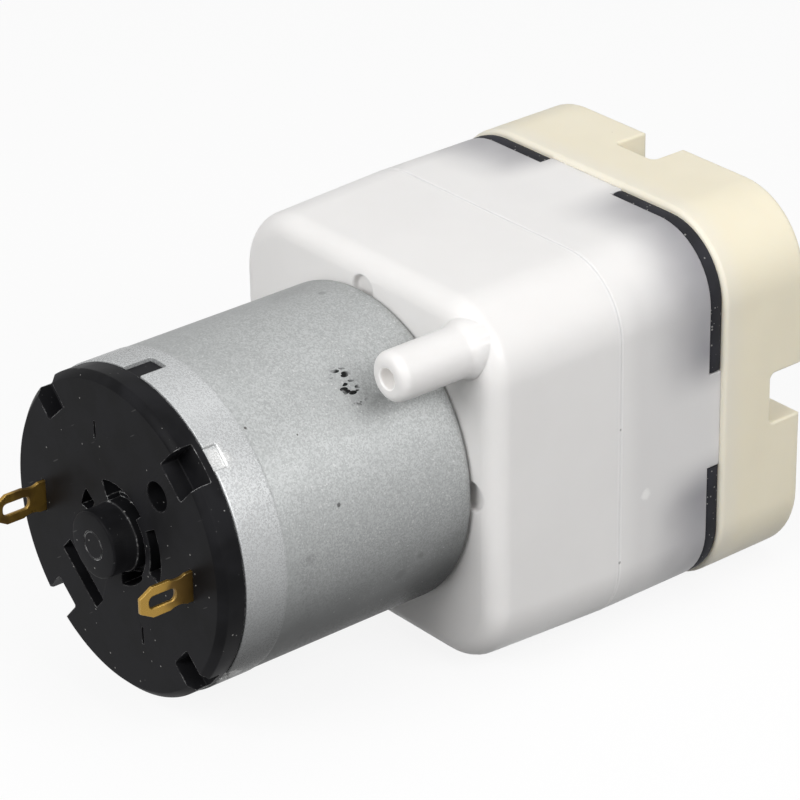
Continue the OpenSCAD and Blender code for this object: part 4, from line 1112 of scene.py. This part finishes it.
class PUMP_OT_end_cap(bpy.types.Operator):
    """Builds the moulded end cap with its notches, slots, vent, pocket and boss"""
    bl_idname = "air_pump.end_cap"
    bl_label = "End cap"

    def execute(self, context):
        s, can, tag = context.scene.pump_cap, context.scene.pump_can, context.scene.pump_terminals
        face = cap_face(s)
        inside = RIM + CLEAR
        cuts = []
        for at, width in NOTCHES:
            notch = box_outline(s.notch_floor, s.radius + 1.5 * MM, width * MM, 0.3 * MM, at)
            cuts.append(sunk(notch, RIM - s.flange, face, s.mouth, 0.12 * MM))
        for r0, r1, start, stop in BOSS_SLOTS:
            cuts.append(sunk(sector_outline(r0 * MM, r1 * MM, start, stop, 0.25 * MM), inside, face, s.mouth))
        groove = sector_outline(s.groove_in, s.groove_out, *GROOVE_ANGLES, 0.1 * MM)
        cuts.append(sunk(groove, face + s.groove_depth, face, s.mouth))
        cuts.append(sunk(disc(s.vent_r, polar(s.vent_at, VENT_ANGLE), 36), inside, face, 0.1 * MM))
        half = s.pocket_w / 2
        pocket = box_outline(s.pocket_at - half, s.pocket_at + half, s.pocket_len, 0.2 * MM, POCKET_ANGLE)
        cuts.append(sunk(pocket, face + s.pocket_depth, face, s.mouth, 0.1 * MM))
        for x, z0, z1 in SLITS:
            slit = rectangle((x - SLIT_HALF) * MM, (x + SLIT_HALF) * MM, z0 * MM, z1 * MM)
            cuts.append(sunk(softened(slit, 0.1 * MM), face + s.slit_depth, face, s.mouth))
        mark_out, mark_in = s.mark_r + s.mark_half, s.mark_r - s.mark_half
        cuts.append(tube(mark_out, mark_in, BOSS_END - CLEAR, BOSS_END + s.mark_depth))
        lugs = []
        lug_in, lug_out, lug_w = s.plug_r - s.plug_wall, can.radius - 0.25 * MM, can.window_w - 0.3 * MM
        for at in WINDOW_ANGLES:
            lug = box_outline(lug_in, lug_out, lug_w, 0.12 * MM, at)
            lugs.append(prism(lug, RIM - CLEAR, RIM + can.window_len - 0.15 * MM))
        for side in (-1, 1):
            land = tag_place(tag, side, 1.1 * MM, tag.width + 1.6 * MM, 0.2 * MM)
            lugs.append(prism(land, RIM - CLEAR, LAND_END))
            slot = tag_place(tag, side, tag.sheet / 2 + 0.05 * MM, tag.width + 0.1 * MM, 0.05 * MM)
            cuts.append(sunk(slot, LAND_END + CLEAR, face, 0.08 * MM))
        cap = joined("end_cap_moulding", cap_solid(s, can.bush_r), add=lugs, cut=cuts)
        placed(cap, "end_cap", finish("black_plastic"))
        return {"FINISHED"}


def tag_outline(s, inner, outer):
    """Outline of a solder tag as (height, distance outside the cap)."""
    w = s.width / 2
    bite = degrees(acos(s.waist_set / s.waist_r))
    waist = arc(w + s.waist_set, s.waist_at, s.waist_r, 180 + bite, 180 - bite, 10)
    edge = [(w, -inner)] + waist + [(w, outer - s.tip_len), (s.tip_w / 2, outer)]
    return edge + [(-x, z) for x, z in reversed(edge)]


class PUMP_OT_terminals(bpy.types.Operator):
    """Builds the two brass solder tags with their waists and eyelets"""
    bl_idname = "air_pump.terminals"
    bl_label = "Terminals"

    def execute(self, context):
        s = context.scene.pump_terminals
        face = cap_face(context.scene.pump_cap)
        half, edge, flare, throat = s.sheet / 2, 0.07 * MM, 0.1 * MM, s.sheet / 2 - 0.08 * MM
        tag_steps = ((-edge, -half), (-0.3 * edge, -half + 0.3 * edge), (0, -half + edge),
                     (0, half - edge), (-0.3 * edge, half - 0.3 * edge), (-edge, half))
        punch_steps = ((flare, -half - CLEAR), (flare, -half), (0, -throat),
                       (0, throat), (flare, half), (flare, half + CLEAR))
        eyelet = rectangle(-s.eyelet_w / 2, s.eyelet_w / 2, s.eyelet_in, s.eyelet_out)
        eyelet = softened(eyelet, 0.55 * MM, 8)
        for node, side in (("terminal_left", -1), ("terminal_right", 1)):
            inner, outer = reach(node, "y", 1) - face, face - reach(node, "y", 0)
            flat = softened(tag_outline(s, inner, outer), 0.12 * MM, 3)
            tag = joined(node + "_tag", lofted([(grown(flat, by), at) for by, at in tag_steps]),
                         cut=[lofted([(grown(eyelet, by), at) for by, at in punch_steps])])
            stand = Matrix(((0, 1, 0, side * s.at), (0, 0, -1, face), (-1, 0, 0, s.mid), (0, 0, 0, 1)))
            tag.data.transform(stand)
            placed(tag, node, finish("brass"))
        return {"FINISHED"}


# The head's pieces

def head_outline(s, inset=0.0, half=None):
    return rounded_square((half or s.half) - inset, s.corner - inset, 14)


def screw_centres(s):
    return [polar(s.screw_at, at) for at in SIDES]


def cup_centres(s):
    return [polar(s.cup_at * sqrt(2), at) for at in CORNERS]


def head_posts(s, extra, y0, y1):
    """The screw bosses with their webs, and the outlet pillar, that stand in the head's hollow."""
    posts = []
    for at in SIDES:
        posts.append(rod(s.boss_r + extra, y0, y1, polar(s.screw_at, at)))
        web = box_outline(s.screw_at, s.half + 1 * MM, 2 * (s.boss_r + extra), 0.05 * MM, at)
        posts.append(prism(web, y0, y1))
    posts.append(rod(s.pillar_r + extra, y0, y1, (s.nozzle_x, s.nozzle_z)))
    return posts


def hollow(s, inset, y0, y1):
    """The room inside the head between two levels, less what stands in it."""
    room = prism(head_outline(s, inset), y0, y1)
    return joined("hollow", room, cut=head_posts(s, 0, y0 - CLEAR, y1 + CLEAR))


def nozzle_solid(s):
    """The outlet nozzle on its small foot, with a rounded tip."""
    foot_r, foot_y = s.nozzle_r + s.nozzle_foot, -2 * s.nozzle_foot
    profile = [(0, NOZZLE_END)]
    tip = reversed(rounded_end(s.nozzle_tip, NOZZLE_END, -1, 8))
    profile += [(s.nozzle_r - inset, y) for inset, y in tip]
    profile += [(s.nozzle_r, foot_y - 0.3 * MM), (s.nozzle_r + 0.12 * MM, foot_y + 0.1 * MM)]
    profile += [(foot_r, -0.35 * s.nozzle_foot), (foot_r, 2 * MM), (0, 2 * MM)]
    return turned(profile, 64, (s.nozzle_x, s.nozzle_z))


class PUMP_OT_pump_base(bpy.types.Operator):
    """Builds the moulded pump base with its nozzle, front dimples and hollow"""
    bl_idname = "air_pump.pump_base"
    bl_label = "Pump base"

    def execute(self, context):
        s, can = context.scene.pump_head, context.scene.pump_can
        open_end = SEAM + CLEAR
        front = s.half - s.draft
        edge = reversed(rounded_end(s.front_edge, 0, -1, 10))
        loops = [(head_outline(s, inset, front), y) for inset, y in edge]
        loops += [(head_outline(s, inset), y) for inset, y in rounded_end(s.seam_edge, SEAM, 1, 3)]
        cuts = [hollow(s, s.draft + s.wall, s.floor, open_end)]
        cuts.append(sunk(disc(can.boss_r + s.slip), s.floor + CLEAR, 0, 0.2 * MM))
        for at in screw_centres(s):
            cuts.append(sunk(disc(s.front_hole_r, at, 40), s.front_hole_len, 0, 0.25 * MM, 0.3 * MM))
        cuts += [rod(s.screw_r + 0.01 * MM, s.screw_end, open_end, at) for at in screw_centres(s)]
        for at in MOTOR_SCREW_ANGLES:
            cuts.append(rod(s.motor_hole_r, -CLEAR, s.floor + CLEAR, polar(can.screw_at, at)))
        cuts.append(sunk(disc(s.bore_r, (s.nozzle_x, s.nozzle_z), 32), open_end, NOZZLE_END, 0.2 * MM))
        base = joined("pump_base_moulding", lofted(loops), add=[nozzle_solid(s)], cut=cuts)
        placed(base, "pump_base", finish("white_plastic"))
        return {"FINISHED"}


def tongue_solids(s, extra, y0, y1):
    """The tongues that stand through the rubber sheet, or the cut-outs for them."""
    solids = []
    tongue_in, tongue_out = s.screw_at - 0.4 * MM - extra, s.half + 1 * MM
    for at in SIDES:
        tongue = box_outline(tongue_in, tongue_out, s.tongue_w + 2 * extra, 0.08 * MM, at)
        solids.append(prism(tongue, y0, y1))
        solids.append(rod(s.boss_r + extra, y0, y1, polar(s.screw_at, at)))
    return solids


class PUMP_OT_diaphragm_holder(bpy.types.Operator):
    """Builds the moulded holder with its wells, tongues and locating lip"""
    bl_idname = "air_pump.diaphragm_holder"
    bl_label = "Diaphragm holder"

    def execute(self, context):
        s = context.scene.pump_head
        holder_end = SEAM + s.holder_len
        deck = holder_end - s.deck
        loops = [(head_outline(s, inset), y) for inset, y in reversed(rounded_end(s.seam_edge, SEAM, -1, 3))]
        loops += [(head_outline(s, inset), y) for inset, y in rounded_end(0.22 * MM, holder_end, 1, 4)]

        lip_out = s.draft + s.wall + s.slip
        lip_in = lip_out + s.lip
        room = LIP_END - CLEAR, SEAM + 2 * CLEAR
        lip = joined("lip", prism(head_outline(s, lip_out), LIP_END, SEAM + CLEAR),
                     cut=[prism(head_outline(s, lip_in), *room)] + head_posts(s, s.slip, *room))
        tongues = []
        for solid in tongue_solids(s, 0, holder_end - 2 * CLEAR, SHEET_END + CLEAR):
            within = prism(head_outline(s), holder_end - 1 * MM, SHEET_END)
            tongues.append(joined("tongue", solid, keep=[within]))

        cuts = [hollow(s, lip_in, SEAM - CLEAR, deck)]
        for at in cup_centres(s):
            cuts.append(sunk(disc(s.cup_r + 0.4 * MM, at, 64), deck - CLEAR, holder_end, 0.3 * MM))
        cuts += [rod(s.screw_r + s.slip, SEAM - CLEAR, SHEET_END + CLEAR, at) for at in screw_centres(s)]
        cuts.append(rod(s.bore_r, SEAM - CLEAR, holder_end + CLEAR, (s.nozzle_x, s.nozzle_z)))
        holder = joined("diaphragm_holder_moulding", lofted(loops), add=[lip] + tongues, cut=cuts)
        placed(holder, "diaphragm_holder", finish("white_plastic"))
        return {"FINISHED"}


def cup_solid(s, at):
    """A rubber cup: its wall and the rolled foot that flexes."""
    roll_in = s.floor_r + 0.25 * MM
    mid, r_out = (s.cup_r + roll_in) / 2, (s.cup_r - roll_in) / 2
    r_in = r_out - s.cup_wall
    top, low = SHEET_END - 0.7 * MM, s.cup_level
    angles = [pi * i / 10 for i in range(11)]
    profile = [(s.cup_r, top), (s.cup_r, low)]
    profile += [(mid + r_out * cos(a), low - r_out * sin(a)) for a in angles[1:]]
    profile += [(mid - r_in * cos(a), low - r_in * sin(a)) for a in angles]
    profile.append((s.cup_r - s.cup_wall, top))
    return turned(profile, 48, at, closed=True)


class PUMP_OT_diaphragm(bpy.types.Operator):
    """Builds the rubber sheet, squeezed out a little at its edge, with its four cups"""
    bl_idname = "air_pump.diaphragm"
    bl_label = "Diaphragm"

    def execute(self, context):
        s = context.scene.pump_head
        start = SEAM + s.holder_len
        thick = SHEET_END - start
        through = start - CLEAR, SHEET_END + CLEAR
        layers = 8
        loops = []
        for i in range(layers + 1):
            squeeze = sin(pi * i / layers) ** 0.7
            loops.append((head_outline(s, s.bulge * (1 - squeeze)), start + thick * i / layers))
        cuts = tongue_solids(s, s.slip, *through)
        well_r = s.cup_r - s.cup_wall
        cuts += [sunk(disc(well_r, at, 48), start - CLEAR, SHEET_END, 0.25 * MM) for at in cup_centres(s)]
        cuts.append(rod(s.bore_r + 0.2 * MM, *through, (s.nozzle_x, s.nozzle_z)))
        sheet = joined("rubber_sheet", lofted(loops), cut=cuts)
        rubber = joined("diaphragm_rubber", sheet, add=[cup_solid(s, at) for at in cup_centres(s)])
        placed(rubber, "diaphragm", finish("black_rubber"))
        return {"FINISHED"}


def notch_cutter(s, head, at):
    """A screw notch, cut in from the side: rounded corners at its floor, rounded lips at the end face."""
    w, r = s.notch_w / 2, s.notch_r
    edge = arc(w - r, r, r, 270, 360, 6) + arc(w + r, s.notch_len - r, r, 180, 90, 6)
    edge.append((w + r, s.notch_len + CLEAR))
    outline = edge + [(-x, y) for x, y in reversed(edge)]
    cutter = sunk(outline, s.notch_in, head.half + s.step, 0.25 * MM)
    return moved(stood(cutter, 0, COVER_END - s.notch_len), around(at))


def cover_room(s, head, inset, y0, y1):
    """The hollow behind the rubber sheet between two levels, less the blocks that carry the screws."""
    half = head.half + s.step
    deep = head.wall + inset
    block_wall = 1 * MM + inset
    block_in, block_w = s.notch_in - block_wall, s.notch_w + 2 * block_wall
    blocks = []
    for at in SIDES:
        block = box_outline(block_in, half + 1 * MM, block_w, 0.05 * MM, at)
        blocks.append(prism(block, y0 - CLEAR, y1 + CLEAR))
    return joined("room", prism(rounded_square(half - deep, s.corner - deep, 12), y0, y1), cut=blocks)


class PUMP_OT_head_cover(bpy.types.Operator):
    """Builds the moulded end cover with its screw notches, chambers and air inlet"""
    bl_idname = "air_pump.head_cover"
    bl_label = "Head cover"

    def execute(self, context):
        s, head = context.scene.pump_cover, context.scene.pump_head
        half = head.half + s.step
        plate_end = SHEET_END + s.plate_t
        chamber_end = COVER_END - s.end_wall
        steps = list(reversed(rounded_end(s.near_edge, SHEET_END, -1, 6)))
        steps += rounded_end(s.far_edge, COVER_END, 1, 6)
        loops = [(rounded_square(half - inset, s.corner - inset, 14), y) for inset, y in steps]

        plate_room = cover_room(s, head, 0.0, SHEET_END - CLEAR, plate_end)
        room = cover_room(s, head, s.ledge, plate_end - 0.02 * MM, chamber_end)
        ring = tube(s.ring_r + s.ring_t / 2, s.ring_r - s.ring_t / 2, plate_end, chamber_end + CLEAR)
        cuts = [plate_room, joined("chamber", room, cut=[ring])]
        hole_r, hole_end = head.screw_r + head.slip, COVER_END - s.notch_len + CLEAR
        cuts += [rod(hole_r, SHEET_END - CLEAR, hole_end, at) for at in screw_centres(head)]
        cuts += [notch_cutter(s, head, at) for at in SIDES]
        recess_r = s.inlet_at + s.inlet_r + 0.8 * MM
        recess_floor = COVER_END - s.recess
        cuts.append(sunk(disc(recess_r, steps=72), recess_floor, COVER_END, 0.25 * MM, 0.15 * MM))
        inlets = [(0, 0)] + [polar(s.inlet_at, at) for at in CORNERS]
        cuts += [sunk(disc(s.inlet_r, at, 32), chamber_end - CLEAR, recess_floor, 0.2 * MM) for at in inlets]
        cover = joined("head_cover_moulding", lofted(loops), cut=cuts)
        placed(cover, "head_cover", finish("cream_plastic"))
        return {"FINISHED"}


# The inner pieces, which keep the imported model's shapes

INNER_FINISHES = {
    "armature_core": "core_steel",
    "armature_windings": "copper_wire",
    "brush_arms": "brass",
    "brushes": "carbon",
    "commutator_hub": "black_plastic",
    "commutator_segments": "copper_bars",
    "cover_screws": "bright_steel",
    "crank_pin": "bright_steel",
    "cup_floors": "black_rubber",
    "eccentric": "inner_white",
    "exhaust_valves": "black_rubber",
    "field_magnets": "ferrite",
    "front_bearing": "bronze",
    "intake_valves": "black_rubber",
    "magnet_clip": "bright_steel",
    "motor_screws": "bright_steel",
    "motor_shaft": "bright_steel",
    "rear_bearing": "bronze",
    "shaft_washers": "inner_white",
    "valve_plate": "inner_white",
    "wobble_plate": "inner_white",
}


class PUMP_OT_inner_works(bpy.types.Operator):
    """Gives the motor's and pump's inner parts their finishes"""
    bl_idname = "air_pump.inner_works"
    bl_label = "Inner works"

    def execute(self, context):
        for node, name in INNER_FINISHES.items():
            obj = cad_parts[node]
            obj.data.materials.clear()
            obj.data.materials.append(finish(name))
        return {"FINISHED"}


# Studio

FLOOR_HALF = 1.5
FLOOR_TONE = (0.9, 0.9, 0.9)
FLOOR_SHOWN = 0.88
SENSOR_MM = 36

# Lamps: name, place, width and height, and the setting that holds the power
LAMPS = (
    ("front lamp", (0.06, -0.44, 0.30), (0.30, 0.26), "front"),
    ("side lamp", (0.40, 0.04, 0.27), (0.26, 0.26), "side"),
    ("top lamp", (-0.06, 0.08, 0.50), (0.36, 0.36), "top"),
)


def shown_share(tree):
    """1 for rays that show the background: straight to the camera, or in shiny or clear surfaces."""
    rays = add_node(tree, "ShaderNodeLightPath").outputs
    return strongest(tree, [rays["Is Glossy Ray"], rays["Is Transmission Ray"], rays["Is Camera Ray"]])


def floor_finish(bounce):
    """A white floor that keeps a soft shadow and sends only a little light back up."""
    material = bpy.data.materials.new("white_floor")
    material.use_nodes = True
    tree = material.node_tree
    tree.nodes.clear()
    seen = shown_share(tree)
    pale = blend(tree, seen, (bounce, bounce, bounce), FLOOR_TONE)
    lit = add_node(tree, "ShaderNodeBsdfDiffuse", {"Color": pale})
    shown = add_node(tree, "ShaderNodeEmission", {"Color": (1, 1, 1, 1), "Strength": 1.0})
    parts = {0: times(tree, seen, FLOOR_SHOWN), 1: lit.outputs[0], 2: shown.outputs[0]}
    mix = add_node(tree, "ShaderNodeMixShader", parts)
    tree.links.new(mix.outputs[0], tree.nodes.new("ShaderNodeOutputMaterial").inputs["Surface"])
    return material


def room_light(strength):
    """Even light from all round, shown as plain white."""
    world = bpy.data.worlds.new("white_room")
    world.use_nodes = True
    tree = world.node_tree
    tree.nodes.clear()
    parts = {0: shown_share(tree)}
    for place, level in ((1, strength), (2, 1.0)):
        light = add_node(tree, "ShaderNodeBackground", {"Color": (1, 1, 1, 1), "Strength": level})
        parts[place] = light.outputs[0]
    mix = add_node(tree, "ShaderNodeMixShader", parts)
    tree.links.new(mix.outputs[0], tree.nodes.new("ShaderNodeOutputWorld").inputs["Surface"])
    return world


def softbox(name, at, size, towards, power):
    """A rectangular lamp with soft edges, aimed at a point."""
    lamp = bpy.data.lights.new(name, "AREA")
    lamp.shape = "RECTANGLE"
    lamp.size, lamp.size_y = size
    lamp.energy = power
    obj = bpy.data.objects.new(name, lamp)
    obj.location = at
    obj.rotation_euler = (Vector(towards) - Vector(at)).to_track_quat("-Z", "Y").to_euler()
    bpy.context.collection.objects.link(obj)


def photo_camera(s, middle):
    """The camera at the photograph's angle."""
    a, e = s.azimuth, s.elevation
    back = Vector((sin(a) * cos(e), -cos(a) * cos(e), sin(e)))
    right = Vector((cos(a), sin(a), 0))
    up = back.cross(right)
    across = right * cos(s.roll) + up * sin(s.roll)
    upward = up * cos(s.roll) - right * sin(s.roll)
    place = Vector(middle) + back * s.distance - across * s.across - upward * s.up
    camera = bpy.data.objects.new("camera", bpy.data.cameras.new("camera"))
    camera.data.lens = s.lens
    camera.data.sensor_width = SENSOR_MM
    axes = Matrix((across, upward, back)).transposed().to_4x4()
    camera.matrix_world = Matrix.Translation(place) @ axes
    bpy.context.collection.objects.link(camera)
    return camera


class PUMP_OT_stage(bpy.types.Operator):
    """Sets up the pale floor, the soft lamps and the camera at the photograph's angle"""
    bl_idname = "air_pump.stage"
    bl_label = "Studio"

    def execute(self, context):
        scene, s = context.scene, context.scene.pump_stage
        bm = bmesh.new()
        bmesh.ops.create_grid(bm, x_segments=8, y_segments=8, size=FLOOR_HALF)
        floor = made("floor", moved(bm, Matrix.Translation((0, 0, CAD_BOX[0][2]))))
        floor.data.materials.append(floor_finish(s.bounce))
        scene.world = room_light(s.world)
        middle = (0, s.target, 0)
        for name, at, size, power in LAMPS:
            softbox(name, at, size, middle, getattr(s, power))
        scene.camera = photo_camera(s, middle)
        scene.view_settings.view_transform = "Standard"
        return {"FINISHED"}


class PUMP_PT_panel(bpy.types.Panel):
    """Lists the pieces of the air pump"""
    bl_label = "Air pump"
    bl_idname = "PUMP_PT_panel"
    bl_space_type = "VIEW_3D"
    bl_region_type = "UI"
    bl_category = "Air pump"

    def draw(self, context):
        for operator in OPERATORS:
            self.layout.operator(operator.bl_idname)


OPERATORS = (PUMP_OT_motor_can, PUMP_OT_end_cap, PUMP_OT_terminals, PUMP_OT_pump_base,
             PUMP_OT_diaphragm_holder, PUMP_OT_diaphragm, PUMP_OT_head_cover, PUMP_OT_inner_works,
             PUMP_OT_stage)
CLASSES = tuple(SETTINGS.values()) + OPERATORS + (PUMP_PT_panel,)


def register():
    for cls in CLASSES:
        bpy.utils.register_class(cls)
    for name, cls in SETTINGS.items():
        setattr(bpy.types.Scene, name, PointerProperty(type=cls))


def unregister():
    for name in SETTINGS:
        delattr(bpy.types.Scene, name)
    for cls in reversed(CLASSES):
        bpy.utils.unregister_class(cls)


def main():
    register()
    for operator in OPERATORS:
        area, name = operator.bl_idname.split(".")
        getattr(getattr(bpy.ops, area), name)()


if __name__ == "__main__":
    main()
